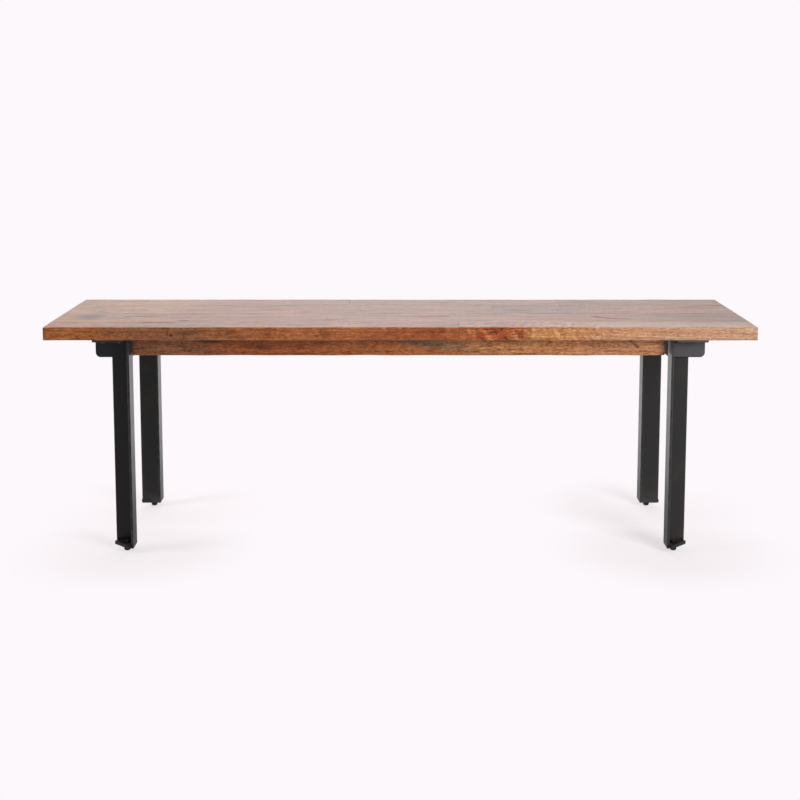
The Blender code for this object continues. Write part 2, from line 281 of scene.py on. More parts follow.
def inward(loop: np.ndarray) -> np.ndarray:
    """Unit directions that point into a closed outline: each is its neighbours' chord, turned."""
    chord = np.roll(loop, -1, 0) - np.roll(loop, 1, 0)
    chord /= np.maximum(np.linalg.norm(chord, axis=1, keepdims=True), 1e-9)
    ahead = np.roll(loop, -1, 0)
    area = (loop[:, 0] * ahead[:, 1] - loop[:, 1] * ahead[:, 0]).sum()
    side = 1.0 if area > 0 else -1.0
    return side * np.stack([-chord[:, 1], chord[:, 0]], 1)


def eased_ends(
    low: float, high: float, radius: float, step: float, rounds: int = 4
) -> tuple[np.ndarray, np.ndarray]:
    """Stations along a bar whose two ends are eased by a quarter round.

    On the round, a station stands radius·(1−sin a) from the end and its section is drawn in by
    radius·(1−cos a), as the angle a goes from 0 to a right angle.

    Args:
        low: Place of the first end.
        high: Place of the last end.
        radius: Radius of the easing.
        step: Longest stretch between stations.
        rounds: Stations on each round.

    Returns:
        The stations and how far the section is drawn in at each.
    """
    angle = np.linspace(0, math.pi / 2, rounds)
    away = radius * (1 - np.sin(angle))
    drawn = radius * (1 - np.cos(angle))
    count = max(2, int(math.ceil((high - low) / step)) + 1)
    middle = np.linspace(low + radius, high - radius, count)[1:-1]
    stations = np.concatenate([(low + away)[::-1], middle, high - away])
    insets = np.concatenate([drawn[::-1], np.zeros(len(middle)), drawn])
    return stations, insets


def waves(points: np.ndarray, lengths: Vec3, seed: int, count: int = 7) -> np.ndarray:
    """Smooth irregular relief between about −1 and 1: a sum of sine waves.

    Each wave runs in its own direction, at its own phase and within a factor of two of the given
    wavelengths, all drawn once from a seeded generator.

    Args:
        points: Places to read, with x, y and z along the last axis.
        lengths: Typical wavelength along each axis.
        seed: Seed of the generator.
        count: Number of waves.

    Returns:
        The relief at each place.
    """
    draw = np.random.default_rng(seed)
    rates = draw.uniform(0.5, 1.6, (count, 3)) * draw.choice([-1, 1], (count, 3)) / np.array(lengths)
    phases = draw.uniform(0, 2 * math.pi, count)
    total = np.sin(points @ rates.T * 2 * math.pi + phases).sum(-1)
    return total / math.sqrt(count)


# ---------------------------------------------------------------------------------------------
# Shader graphs
# ---------------------------------------------------------------------------------------------


class Graph:
    """The node graph of a material or of the world, written as if its sockets were numbers."""

    def __init__(self, owner: Material | bpy.types.World) -> None:
        """Start an empty graph on a new material or world."""
        self.owner = owner
        owner.use_nodes = True
        self.tree = owner.node_tree
        self.tree.nodes.clear()

    @classmethod
    def of(cls, name: str) -> "Graph":
        """Start the graph of a new material of that name."""
        return cls(bpy.data.materials.new(name))

    def node(self, kind: str, **settings: object) -> bpy.types.Node:
        """Add a node and set its properties."""
        made = self.tree.nodes.new(kind)
        for key, value in settings.items():
            setattr(made, key, value)
        return made

    def feed(self, socket: Socket, value: object) -> None:
        """Link a socket into an input, or set the input to a constant."""
        if isinstance(value, Socket):
            self.tree.links.new(value, socket)
        elif isinstance(value, tuple) and len(value) == 3 and socket.type == "RGBA":
            socket.default_value = (*value, 1.0)
        else:
            socket.default_value = value

    def point(self) -> Socket:
        """Place on the piece, in metres."""
        return self.node("ShaderNodeTexCoord").outputs["Object"]

    def mark(self, name: str) -> Socket:
        """A value kept on the mesh under that name."""
        return self.node("ShaderNodeAttribute", attribute_name=name).outputs["Fac"]

    def moved(self, vector: object, shift: Vec3 = (0, 0, 0), turn: Vec3 = (0, 0, 0)) -> Socket:
        """A vector turned and then shifted."""
        node = self.node("ShaderNodeMapping")
        self.feed(node.inputs["Vector"], vector)
        node.inputs["Location"].default_value = shift
        node.inputs["Rotation"].default_value = turn
        return node.outputs[0]

    def vector(self, operation: str, first: object, second: object = None) -> Socket:
        """Vector arithmetic."""
        node = self.node("ShaderNodeVectorMath", operation=operation)
        self.feed(node.inputs[0], first)
        if second is not None:
            self.feed(node.inputs[1], second)
        return node.outputs["Value" if operation in ("LENGTH", "DOT_PRODUCT") else "Vector"]

    def split(self, vector: object) -> list[Socket]:
        """The three components of a vector."""
        node = self.node("ShaderNodeSeparateXYZ")
        self.feed(node.inputs[0], vector)
        return list(node.outputs)

    def math(self, operation: str, first: object, second: object = 0.0) -> Socket:
        """Arithmetic on one or two values."""
        node = self.node("ShaderNodeMath", operation=operation)
        self.feed(node.inputs[0], first)
        self.feed(node.inputs[1], second)
        return node.outputs[0]

    def weigh(self, *terms: tuple[object, float], base: float = 0.0) -> Socket:
        """A weighted sum: base plus each value times its weight."""
        total: object = base
        for value, weight in terms:
            node = self.node("ShaderNodeMath", operation="MULTIPLY_ADD")
            self.feed(node.inputs[0], value)
            self.feed(node.inputs[1], weight)
            self.feed(node.inputs[2], total)
            total = node.outputs[0]
        return total

    def ease(self, value: object, low: float, high: float, start: float = 0.0, end: float = 1.0) -> Socket:
        """A smooth step: start below low, end above high."""
        node = self.node("ShaderNodeMapRange", interpolation_type="SMOOTHSTEP")
        for socket, given in zip(node.inputs, (value, low, high, start, end)):
            self.feed(socket, given)
        return node.outputs[0]

    def noise(
        self,
        vector: object,
        scale: Vec3,
        detail: float = 2.0,
        roughness: float = 0.55,
        distortion: float = 0.0,
    ) -> Socket:
        """Solid noise from 0 to 1, with its own number of features per metre along each axis."""
        node = self.node("ShaderNodeTexNoise", noise_dimensions="3D")
        self.feed(node.inputs["Vector"], self.vector("MULTIPLY", vector, scale))
        node.inputs["Scale"].default_value = 1.0
        node.inputs["Detail"].default_value = detail
        node.inputs["Roughness"].default_value = roughness
        node.inputs["Distortion"].default_value = distortion
        return node.outputs[0]

    def line_noise(self, value: object, detail: float = 2.0, roughness: float = 0.6) -> Socket:
        """Noise from 0 to 1 along one value."""
        node = self.node("ShaderNodeTexNoise", noise_dimensions="1D")
        self.feed(node.inputs["W"], value)
        node.inputs["Scale"].default_value = 1.0
        node.inputs["Detail"].default_value = detail
        node.inputs["Roughness"].default_value = roughness
        return node.outputs[0]

    def ramp(self, value: object, *stops: tuple[float, Rgb]) -> Socket:
        """A colour that runs through stops as the value goes from 0 to 1."""
        node = self.node("ShaderNodeValToRGB")
        node.color_ramp.interpolation = "EASE"
        elements = node.color_ramp.elements
        while len(elements) < len(stops):
            elements.new(0.5)
        for element, (place, colour) in zip(elements, stops):
            element.position = place
            element.color = (*colour, 1.0)
        self.feed(node.inputs[0], value)
        return node.outputs[0]

    def mix(self, share: object, first: object, second: object) -> Socket:
        """The first colour at a share of 0, and the second at 1."""
        node = self.node("ShaderNodeMix", data_type="RGBA", blend_type="MIX", clamp_factor=True)
        self.feed(node.inputs[0], share)
        self.feed(node.inputs[6], first)
        self.feed(node.inputs[7], second)
        return node.outputs[2]

    def bump(self, height: object, depth: float, strength: float = 1.0) -> Socket:
        """A normal bent by a height field whose unit is the given depth in metres."""
        node = self.node("ShaderNodeBump")
        node.inputs["Strength"].default_value = strength
        node.inputs["Distance"].default_value = depth
        self.feed(node.inputs["Height"], height)
        return node.outputs[0]

    def finish(self, colour: object, roughness: object, normal: object, **constants: float) -> Material:
        """Close the graph with a Principled shader.

        Args:
            colour: Base colour.
            roughness: Roughness.
            normal: Bent normal.
            **constants: Other inputs of the shader by name, with _ for a space.

        Returns:
            The finished material.
        """
        shader = self.node("ShaderNodeBsdfPrincipled")
        self.feed(shader.inputs["Base Color"], colour)
        self.feed(shader.inputs["Roughness"], roughness)
        self.feed(shader.inputs["Normal"], normal)
        for name, value in constants.items():
            shader.inputs[name.replace("_", " ")].default_value = value
        return self.close(shader.outputs[0])

    def shade(self, kind: str, colour: Rgb = (1.0, 1.0, 1.0), strength: object = None) -> Socket:
        """A plain diffuse, emission or background shader of that colour and strength."""
        node = self.node(kind)
        node.inputs["Color"].default_value = (*colour, 1.0)
        if strength is not None:
            self.feed(node.inputs["Strength"], strength)
        return node.outputs[0]

    def blend(self, share: Socket, first: Socket, second: Socket) -> Socket:
        """The first shader at a share of 0, and the second at 1."""
        node = self.node("ShaderNodeMixShader")
        for socket, given in zip(node.inputs, (share, first, second)):
            self.tree.links.new(given, socket)
        return node.outputs[0]

    def seen(self) -> Socket:
        """1 where the camera looks straight at the surface, else 0. For the studio only."""
        return self.node("ShaderNodeLightPath").outputs["Is Camera Ray"]

    def close(self, shader: Socket, output: str = "ShaderNodeOutputMaterial") -> Material:
        """Send the shader to the graph's output and return the graph's owner."""
        self.tree.links.new(shader, self.node(output).inputs["Surface"])
        return self.owner


# ---------------------------------------------------------------------------------------------
# Finishes
# ---------------------------------------------------------------------------------------------


class Figure(Enum):
    """How the light and dark of a board's grain is broken up: features per metre along each axis."""

    STRAIGHT = (7.0, 55.0, 55.0)
    MOTTLED = (36.0, 62.0, 85.0)
    CURLY = (105.0, 24.0, 40.0)


class MarkKind(Enum):
    """What a mark in the wood is."""

    KNOT = "knot"
    STAIN = "stain"


@dataclass(frozen=True)
class Mark:
    """A knot or a stain in a board.

    Attributes:
        kind: What it is.
        centre: World place of its middle.
        reach: Half its length along each axis.
        strength: How dark it is, from 0 to 1.
    """

    kind: MarkKind
    centre: Vec3
    reach: Vec3
    strength: float = 0.8


@dataclass(frozen=True)
class Tone:
    """Colours of a board, from its dark bands to its light ones."""

    dark: Rgb
    body: Rgb
    light: Rgb


BROWN = Tone((0.130, 0.044, 0.017), (0.330, 0.118, 0.044), (0.52, 0.205, 0.080))
RUSSET = Tone((0.146, 0.035, 0.011), (0.388, 0.100, 0.029), (0.58, 0.180, 0.056))
AMBER = Tone((0.192, 0.053, 0.016), (0.462, 0.141, 0.043), (0.71, 0.262, 0.088))
FLAME = Tone((0.118, 0.022, 0.007), (0.425, 0.092, 0.025), (0.80, 0.285, 0.100))
GOLD = Tone((0.260, 0.085, 0.026), (0.560, 0.240, 0.092), (0.86, 0.500, 0.230))
HONEY = Tone((0.300, 0.120, 0.050), (0.580, 0.290, 0.150), (0.80, 0.470, 0.270))
COPPER = Tone((0.270, 0.100, 0.042), (0.545, 0.245, 0.122), (0.780, 0.410, 0.225))
TAN = Tone((0.270, 0.130, 0.070), (0.510, 0.275, 0.165), (0.70, 0.440, 0.300))
SLATE = Tone((0.080, 0.048, 0.028), (0.230, 0.135, 0.078), (0.38, 0.230, 0.130))
WALNUT = Tone((0.120, 0.046, 0.021), (0.350, 0.130, 0.056), (0.54, 0.225, 0.100))
ROSE = Tone((0.170, 0.052, 0.020), (0.410, 0.135, 0.052), (0.58, 0.220, 0.090))
UMBER = Tone((0.110, 0.042, 0.019), (0.270, 0.105, 0.048), (0.42, 0.180, 0.085))


@dataclass(frozen=True)
class Turn:
    """A change of colour along a board.

    Attributes:
        tone: Colours that the board turns to.
        start: World x where the change begins, at the height of the seat.
        end: World x where it is complete.
        lean: How far the change moves along X for each unit of height.
    """

    tone: Tone
    start: float
    end: float
    lean: float = 0.0


RAMP_PLACES = (0.08, 0.5, 0.92)
FLECK_COLOUR = (0.070, 0.022, 0.009)
PORE_COLOUR = (0.040, 0.014, 0.007)
KNOT_COLOUR = (0.018, 0.010, 0.007)
STAIN_COLOUR = (0.045, 0.034, 0.028)
BROKEN_COLOUR = (0.62, 0.33, 0.17)
# Painted shade: near black inside a crack's open groove.
CRACK_SHADE_COLOUR = (0.010, 0.006, 0.004)
RING_PITCH = 0.0052


@dataclass(frozen=True)
class OiledWood:
    """Stained and oiled hardwood with rings, fibres, pores and a satin oil film.

    The rings are shells round a pith that runs along X: the distance from it, bent by slow noise,
    drives a band pattern. Fibres and pores are noise stretched along the board.

    Attributes:
        tone: Colours of the board.
        figure: How its light and dark are broken up.
        figure_weight: How strongly they are.
        pith: World (y, z) of the tree's pith.
        seed: Shifts the noise, so that no two boards match.
        tilt: Angle in degrees between the fibres and the board.
        turns: Changes of colour along the board, in order.
        marks: Knots and stains.
        sheen: Strength of the oil film.
        gloss: Roughness of the surface.
        level: Height at which a change of colour has its stated place.
    """

    tone: Tone
    figure: Figure = Figure.STRAIGHT
    figure_weight: float = 0.45
    pith: Pair = (0.0, 0.30)
    seed: float = 0.0
    tilt: float = 0.6
    turns: tuple[Turn, ...] = ()
    marks: tuple[Mark, ...] = ()
    sheen: float = 0.10
    gloss: float = 0.36
    level: float = 0.438

    def rings(self, g: Graph, point: object, grain: object) -> tuple[object, object]:
        """Distance from the pith, bent by noise, and the slow noise that bends it."""
        _, y, z = g.split(point)
        slow = g.noise(grain, (2.4, 12.0, 12.0), detail=2.0)
        middle = g.noise(grain, (9.0, 55.0, 55.0), detail=3.0)
        across = g.math("SUBTRACT", y, self.pith[0])
        down = g.math("SUBTRACT", z, self.pith[1])
        square = g.math("ADD", g.math("MULTIPLY", across, across), g.math("MULTIPLY", down, down))
        distance = g.weigh((g.math("SQRT", square), 1.0), (slow, 0.030), (middle, 0.0045))
        for mark in self.marks:
            if mark.kind is MarkKind.KNOT:
                swell = g.ease(self.away(g, point, mark), 0.0, 2.6, 0.016, 0.0)
                distance = g.math("ADD", distance, swell)
        return distance, slow

    @staticmethod
    def away(g: Graph, point: object, mark: Mark) -> object:
        """Distance from a mark's middle, in units of its own reach along each axis."""
        offset = g.vector("SUBTRACT", point, mark.centre)
        return g.vector("LENGTH", g.vector("DIVIDE", offset, mark.reach))

    def pattern(self, g: Graph, point: object, grain: object) -> dict[str, object]:
        """The separate layers of the grain, each from 0 to 1."""
        distance, slow = self.rings(g, point, grain)
        turned = g.moved(grain, turn=(0.0, math.radians(30), math.radians(16)))
        source = turned if self.figure is Figure.CURLY else grain
        lines = g.math("FRACT", g.math("MULTIPLY", distance, 1 / RING_PITCH))
        return {
            "slow": slow,
            "bands": g.ease(g.line_noise(g.math("MULTIPLY", distance, 230.0), 2.0), 0.25, 0.75),
            "lines": g.math("POWER", lines, 4.0),
            "fibres": g.noise(grain, (26.0, 420.0, 420.0), detail=3.0, roughness=0.65),
            "specks": g.ease(g.noise(grain, (130.0, 420.0, 420.0), detail=3.0, roughness=0.7), 0.30, 0.70),
            "figure": g.noise(source, self.figure.value, detail=2.0, distortion=0.35),
            "flecks": g.ease(g.noise(grain, (95.0, 700.0, 700.0), detail=1.0), 0.60, 0.72),
            "pores": g.ease(g.noise(grain, (330.0, 3300.0, 3300.0), detail=0.0), 0.60, 0.78),
        }

    def colour(self, g: Graph, point: object, layers: dict[str, object]) -> object:
        """Colour of the clean board from the layers of its grain."""
        weights = {"bands": 0.26, "fibres": 0.48, "specks": 0.56, "slow": 0.55}
        weights["figure"] = 2 * self.figure_weight
        terms = [(layers[name], weight) for name, weight in weights.items()]
        share = g.weigh(*terms, base=0.5 - sum(weights.values()) / 2)
        tint = g.ramp(share, *self.stops(self.tone))
        x, _, z = g.split(point)
        for turn in self.turns:
            base = -0.025 + turn.lean * self.level
            place = g.weigh((x, 1.0), (z, -turn.lean), (layers["figure"], 0.05), base=base)
            tint = g.mix(g.ease(place, turn.start, turn.end), tint, g.ramp(share, *self.stops(turn.tone)))
        tint = g.mix(g.math("MULTIPLY", layers["lines"], 0.16), tint, self.tone.dark)
        tint = g.mix(g.math("MULTIPLY", layers["flecks"], 0.42), tint, FLECK_COLOUR)
        return g.mix(g.math("MULTIPLY", layers["pores"], 0.35), tint, PORE_COLOUR)

    @staticmethod
    def stops(tone: Tone) -> tuple[tuple[float, Rgb], ...]:
        """Where a tone's colours sit on the ramp."""
        return tuple(zip(RAMP_PLACES, (tone.dark, tone.body, tone.light)))

    def marked(self, g: Graph, point: object, grain: object, tint: object) -> object:
        """The board's colour with its knots, stains, cut ends, worn and broken arrises, and the painted
        shade inside its cracks.
        """
        ragged = g.noise(grain, (40.0, 160.0, 160.0), detail=3.0)
        for mark in self.marks:
            away = g.weigh((self.away(g, point, mark), 1.0), (ragged, 0.9), base=-0.45)
            inner, dark = (0.35, KNOT_COLOUR) if mark.kind is MarkKind.KNOT else (0.15, STAIN_COLOUR)
            tint = g.mix(g.ease(away, inner, 1.1, mark.strength, 0.0), tint, dark)
        facing = g.node("ShaderNodeNewGeometry").outputs["True Normal"]
        cut = g.ease(g.math("ABSOLUTE", g.split(facing)[0]), 0.8, 0.95)
        tint = g.mix(g.math("MULTIPLY", cut, 0.55), tint, self.tone.dark)
        worn = g.math("MULTIPLY", g.mark("arris"), g.ease(ragged, 0.45, 0.65, 0.0, 0.55))
        tint = g.mix(worn, tint, self.tone.light)
        tint = g.mix(g.math("MULTIPLY", g.mark("chip"), 0.8), tint, BROKEN_COLOUR)
        # Near black in the cracks: painted shade standing in for the shade inside their open grooves.
        return g.mix(g.mark("crack"), tint, CRACK_SHADE_COLOUR)

    def build(self, name: str) -> Material:
        """Make the material.

        Args:
            name: Name of the material.

        Returns:
            The material.
        """
        g = Graph.of(name)
        point = g.point()
        lean = math.radians(self.tilt)
        grain = g.moved(point, (self.seed * 1.37, self.seed * 0.73, self.seed * 0.41), (0.0, lean, lean))
        layers = self.pattern(g, point, grain)
        tint = self.marked(g, point, grain, self.colour(g, point, layers))
        smear = g.noise(grain, (16.0, 60.0, 60.0), detail=2.0)
        dull = ((smear, 0.16), (layers["flecks"], 0.12), (g.mark("crack"), 0.4))
        roughness = g.weigh(*dull, base=self.gloss - 0.08)
        heights = {"fibres": 0.5, "bands": 0.35, "pores": -0.9, "flecks": -0.5}
        height = g.weigh(*((layers[name], weight) for name, weight in heights.items()))
        normal = g.bump(height, 0.00022, 0.6)
        return g.finish(
            tint, roughness, normal,
            Specular_IOR_Level=0.5, Coat_Weight=self.sheen, Coat_Roughness=0.34, Coat_IOR=1.5,
        )


@dataclass(frozen=True)
class BlackIron:
    """Black satin coat over hot-rolled steel: fine orange peel, faint brown scale, worn arrises.

    Attributes:
        coat: Colour of the coat.
        scale_tint: Colour where the scale below shows through.
        worn: Colour of the arrises.
        gloss: Roughness of the coat.
    """

    coat: Rgb = (0.0150, 0.0146, 0.0152)
    scale_tint: Rgb = (0.026, 0.020, 0.016)
    worn: Rgb = (0.060, 0.056, 0.054)
    gloss: float = 0.37

    def build(self, name: str) -> Material:
        """Make the material."""
        g = Graph.of(name)
        point = g.point()
        mottle = g.noise(point, (26.0, 26.0, 26.0), detail=4.0, roughness=0.6)
        peel = g.noise(point, (900.0, 900.0, 900.0), detail=2.0)
        drawn = g.noise(point, (150.0, 150.0, 12.0), detail=3.0)
        tint = g.mix(g.ease(mottle, 0.50, 0.68, 0.0, 0.7), self.coat, self.scale_tint)
        patches = g.ease(g.noise(point, (70.0, 70.0, 70.0), 3.0), 0.40, 0.62, 0.1, 0.8)
        rubbed = g.math("MULTIPLY", g.mark("arris"), patches)
        tint = g.mix(rubbed, tint, self.worn)
        roughness = g.weigh((mottle, 0.20), (peel, 0.06), base=self.gloss - 0.13)
        height = g.weigh((peel, 0.6), (mottle, 1.2), (drawn, 0.5))
        normal = g.bump(height, 0.00012, 0.7)
        return g.finish(tint, roughness, normal, Specular_IOR_Level=0.5)


@dataclass(frozen=True)
class BareMetal:
    """Plated or bare metal of small fasteners: turned lines, dull spots and darker grooves.

    Attributes:
        colour: Colour of the clean metal.
        dull: Colour of the dull spots.
        gloss: Roughness.
    """

    colour: Rgb
    dull: Rgb
    gloss: float

    def build(self, name: str) -> Material:
        """Make the material."""
        g = Graph.of(name)
        point = g.point()
        spots = g.noise(point, (420.0, 420.0, 420.0), detail=3.0)
        lines = g.noise(point, (300.0, 300.0, 5200.0), detail=1.0)
        tint = g.mix(g.ease(spots, 0.45, 0.70), self.colour, self.dull)
        # Darker where the groove mark is set: thread grooves, cross recesses and screw shanks.
        tint = g.mix(g.mark("groove"), tint, (0.03, 0.026, 0.022))
        roughness = g.weigh((spots, 0.25), (lines, 0.08), base=self.gloss - 0.14)
        normal = g.bump(g.weigh((spots, 0.6), (lines, 0.4)), 0.00004, 0.6)
        return g.finish(tint, roughness, normal, Metallic=1.0)


@dataclass(frozen=True)
class MouldedNylon:
    """Black moulded nylon with a fine spark-eroded grain and scuffs where it slides.

    Attributes:
        colour: Colour of the nylon.
        scuff: Colour of the scuffs.
        gloss: Roughness.
    """

    colour: Rgb = (0.013, 0.013, 0.014)
    scuff: Rgb = (0.055, 0.053, 0.050)
    gloss: float = 0.46

    def build(self, name: str) -> Material:
        """Make the material."""
        g = Graph.of(name)
        point = g.point()
        fine = g.noise(point, (2600.0, 2600.0, 2600.0), detail=2.0)
        broad = g.noise(point, (260.0, 260.0, 260.0), detail=3.0)
        height = g.split(point)[2]
        low = g.ease(height, 0.0002, 0.0016, 1.0, 0.0)
        scuffed = g.math("MULTIPLY", low, g.ease(broad, 0.40, 0.62))
        tint = g.mix(scuffed, self.colour, self.scuff)
        roughness = g.weigh((broad, 0.12), (scuffed, 0.2), base=self.gloss - 0.06)
        return g.finish(tint, roughness, g.bump(fine, 0.00003, 0.6), Specular_IOR_Level=0.45)


# ---------------------------------------------------------------------------------------------
# Sub-assemblies
# ---------------------------------------------------------------------------------------------


def dress(piece: Piece, material: Material, slot: str, body: str, *nodes: str) -> None:
    """Give a piece its finish, its body and the nodes that it stands for, and report it.

    Args:
        piece: The new piece.
        material: Its finish.
        slot: The record's material slot; not used.
        body: The body that it rides on.
        *nodes: Nodes of the frame that it stands for.
    """
    piece.data.materials.clear()
    piece.data.materials.append(material)
    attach(piece, body)
    if nodes:
        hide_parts(*nodes)
    LOG.info("%s: %d faces on %s", piece.name, len(piece.data.polygons), body)


@dataclass(frozen=True)
class Crack:
    """A drying crack in the top of the seat.

    Attributes:
        path: Its points as world x and distance behind the seat's front edge.
        width: Half its width.
        depth: How deep it is.
    """

    path: tuple[Pair, ...]
    width: float = 0.0009
    depth: float = 0.0011

    def away(self, x: np.ndarray, y: np.ndarray, front: float) -> tuple[np.ndarray, np.ndarray]:
        """Distance of each place from the crack, and how far along it from 0 to 1.

        The distance is the least over the crack's straight runs, from each place to its foot on
        the run.
        """
        corners = np.array(self.path) + [0.0, front]
        best = np.full(np.broadcast(x, y).shape, 1.0)
        along = np.zeros_like(best)
        for number, (start, end) in enumerate(zip(corners[:-1], corners[1:])):
            run = end - start
            share = ((x - start[0]) * run[0] + (y - start[1]) * run[1]) / (run @ run)
            share = np.clip(share, 0, 1)
            gap = np.hypot(x - start[0] - share * run[0], y - start[1] - share * run[1])
            closer = gap < best
            best = np.where(closer, gap, best)
            along = np.where(closer, (number + share) / (len(corners) - 1), along)
        return best, along

    def groove(self, x: np.ndarray, y: np.ndarray, front: float) -> np.ndarray:
        """Share of the full depth at each place: a bell across the crack, fading to its ends."""
        gap, along = self.away(x, y, front)
        taper = np.clip(np.sin(np.pi * np.clip(along, 0.0, 1.0)) * 1.6 + 0.12, 0, 1)
        width = self.width * (0.45 + 0.55 * taper)
        return np.exp(-((gap / width) ** 2)) * taper


@dataclass(frozen=True)
class Chip:
    """A place where an arris of the seat has broken away.

    Attributes:
        x: World x of its middle.
        edge: Which long arris: front or rear.
        length: Half its length along X.
        bite: How much the arris's round grows there.
        pale: How much pale wood it lays bare, from 0 to 1.
    """

    x: float
    edge: str
    length: float
    bite: float
    pale: float = 0.0


SECTION_ANGLES = np.array([180.0, 270.0, 0.0, 90.0])


@dataclass
class Plank:
    """One piece of timber: a box whose long arrises are eased and whose faces are gently uneven.

    Its section is worked out corner by corner. Each corner's round has its own radius at every
    station, so a point of a flat face lies between two rounds' ends and stays on the face.

    Attributes:
        low: Lowest corner.
        high: Highest corner.
        arrises: Radius of the front bottom, rear bottom, rear top and front top arris.
        ends: Radius at the left and the right end.
        step: Stretch between stations, and about that across the faces.
        uneven: Height of the slow unevenness of the faces.
        seed: Seed of the unevenness.
        extra_x: More stations, where there is fine detail.
        extra_y: More lines across the top, where there is fine detail.
        arc_points: Points on the round of an arris.
    """

    low: np.ndarray
    high: np.ndarray
    arrises: tuple[float, float, float, float]
    ends: Pair
    step: float = 0.006
    uneven: float = 0.00012
    seed: int = 1
    extra_x: np.ndarray = field(default_factory=lambda: np.zeros(0))
    extra_y: np.ndarray = field(default_factory=lambda: np.zeros(0))
    arc_points: int = 5

    def stations(self) -> tuple[np.ndarray, np.ndarray]:
        """World x of each station, and the cosine that draws its section in at the two ends.

        At an end of radius r, the station at angle a stands r·(1−sin a) from the end.
        """
        angle = np.linspace(math.pi / 2, 0, self.arc_points)
        left = self.low[0] + self.ends[0] * (1 - np.sin(angle))
        right = self.high[0] - self.ends[1] * (1 - np.sin(angle[::-1]))
        count = max(3, int((right[0] - left[-1]) / self.step))
        middle = np.concatenate([np.linspace(left[-1], right[0], count)[1:-1], self.extra_x])
        middle = np.unique(np.round(middle[(middle > left[-1] + 2e-4) & (middle < right[0] - 2e-4)], 5))
        cosine = np.concatenate([np.cos(angle), np.ones(len(middle)), np.cos(angle[::-1])])
        return np.concatenate([left, middle, right]), cosine

    def face_shares(self, side: int) -> np.ndarray:
        """Where the points of one flat face lie between its two rounds, from 0 to 1."""
        length = (self.high - self.low)[1 if side in (0, 2) else 2]
        shares = np.linspace(0, 1, max(3, int(length / self.step) + 1))[1:-1]
        edges = np.array([0.02, 0.98]) if length > 0.02 else np.array([0.05, 0.95])
        shares = np.concatenate([shares, edges])
        if side == 2 and len(self.extra_y):
            shares = np.concatenate([shares, (self.high[1] - self.extra_y) / length])
        shares = np.unique(np.round(shares, 4))
        return shares[(shares > 0.004) & (shares < 0.996)]

    def section(self) -> tuple[np.ndarray, np.ndarray, np.ndarray, np.ndarray]:
        """First corner, second corner, share between them and outward direction of each point."""
        first, second, share, direction = [], [], [], []
        for corner, start in enumerate(SECTION_ANGLES):
            angles = np.radians(start + np.linspace(0, 90, self.arc_points))
            first.append(np.full(len(angles), corner))
            second.append(np.full(len(angles), corner))
            share.append(np.zeros(len(angles)))
            direction.append(np.stack([np.cos(angles), np.sin(angles)], 1))
            shares = self.face_shares(corner)
            first.append(np.full(len(shares), corner))
            second.append(np.full(len(shares), (corner + 1) % 4))
            share.append(shares)
            direction.append(np.repeat(direction[-1][-1:], len(shares), 0))
        return tuple(np.concatenate(part) for part in (first, second, share, direction))

    def radii(self, x: np.ndarray) -> np.ndarray:
        """Radius of each of the four arrises at each station."""
        return np.repeat(np.array(self.arrises)[None, :], len(x), 0)

    def relief(self, points: np.ndarray, direction: np.ndarray) -> tuple[np.ndarray, np.ndarray]:
        """How far each point stands out along its direction, and how deep in a crack's painted shade it
        lies.
        """
        slow = waves(points, (0.16, 0.07, 0.05), self.seed)
        fine = waves(points, (0.045, 0.018, 0.015), self.seed + 50)
        return self.uneven * (slow + 0.25 * fine), np.zeros(points.shape[:2])

    def surface(self) -> tuple[np.ndarray, dict[str, np.ndarray]]:
        """The grid of points and the marks on it.

        A point is its corner's centre plus radius times direction, both scaled by the station's
        cosine, and on a flat face it is the same thing mixed between two corners.
        """
        x, cosine = self.stations()
        first, second, share, direction = self.section()
        radius = self.radii(x)
        sign = np.array([[1, 1], [-1, 1], [-1, -1], [1, -1]], float)
        box = np.array([
            [self.low[1], self.low[2]],
            [self.high[1], self.low[2]],
            [self.high[1], self.high[2]],
            [self.low[1], self.high[2]],
        ])
        centre = box[None] + sign[None] * radius[:, :, None]
        reach = radius[:, :, None] * cosine[:, None, None]
        start = centre[:, first] + reach[:, first] * direction
        end = centre[:, second] + reach[:, second] * direction
        flat = start * (1 - share)[:, None] + end * share[:, None]
        points = np.concatenate([np.repeat(x[:, None, None], len(first), 1), flat], -1)
        out, dark = self.relief(points, direction)
        points[..., 1:] += (out * cosine[:, None])[..., None] * direction
        slant = np.arctan2(abs(direction[:, 1]), abs(direction[:, 0]))
        worn = np.where(first == second, np.sin(2 * slant), 0.0)
        arris = worn[None, :] * np.minimum(radius[:, first] / 0.0015, 1.0)
        chip = self.bruised(points[..., 0], direction)
        return points, {"arris": arris, "crack": dark, "chip": chip}

    def bruised(self, x: np.ndarray, direction: np.ndarray) -> np.ndarray:
        """How pale each point is where an arris has broken away: nowhere on a plain plank."""
        return np.zeros(x.shape)


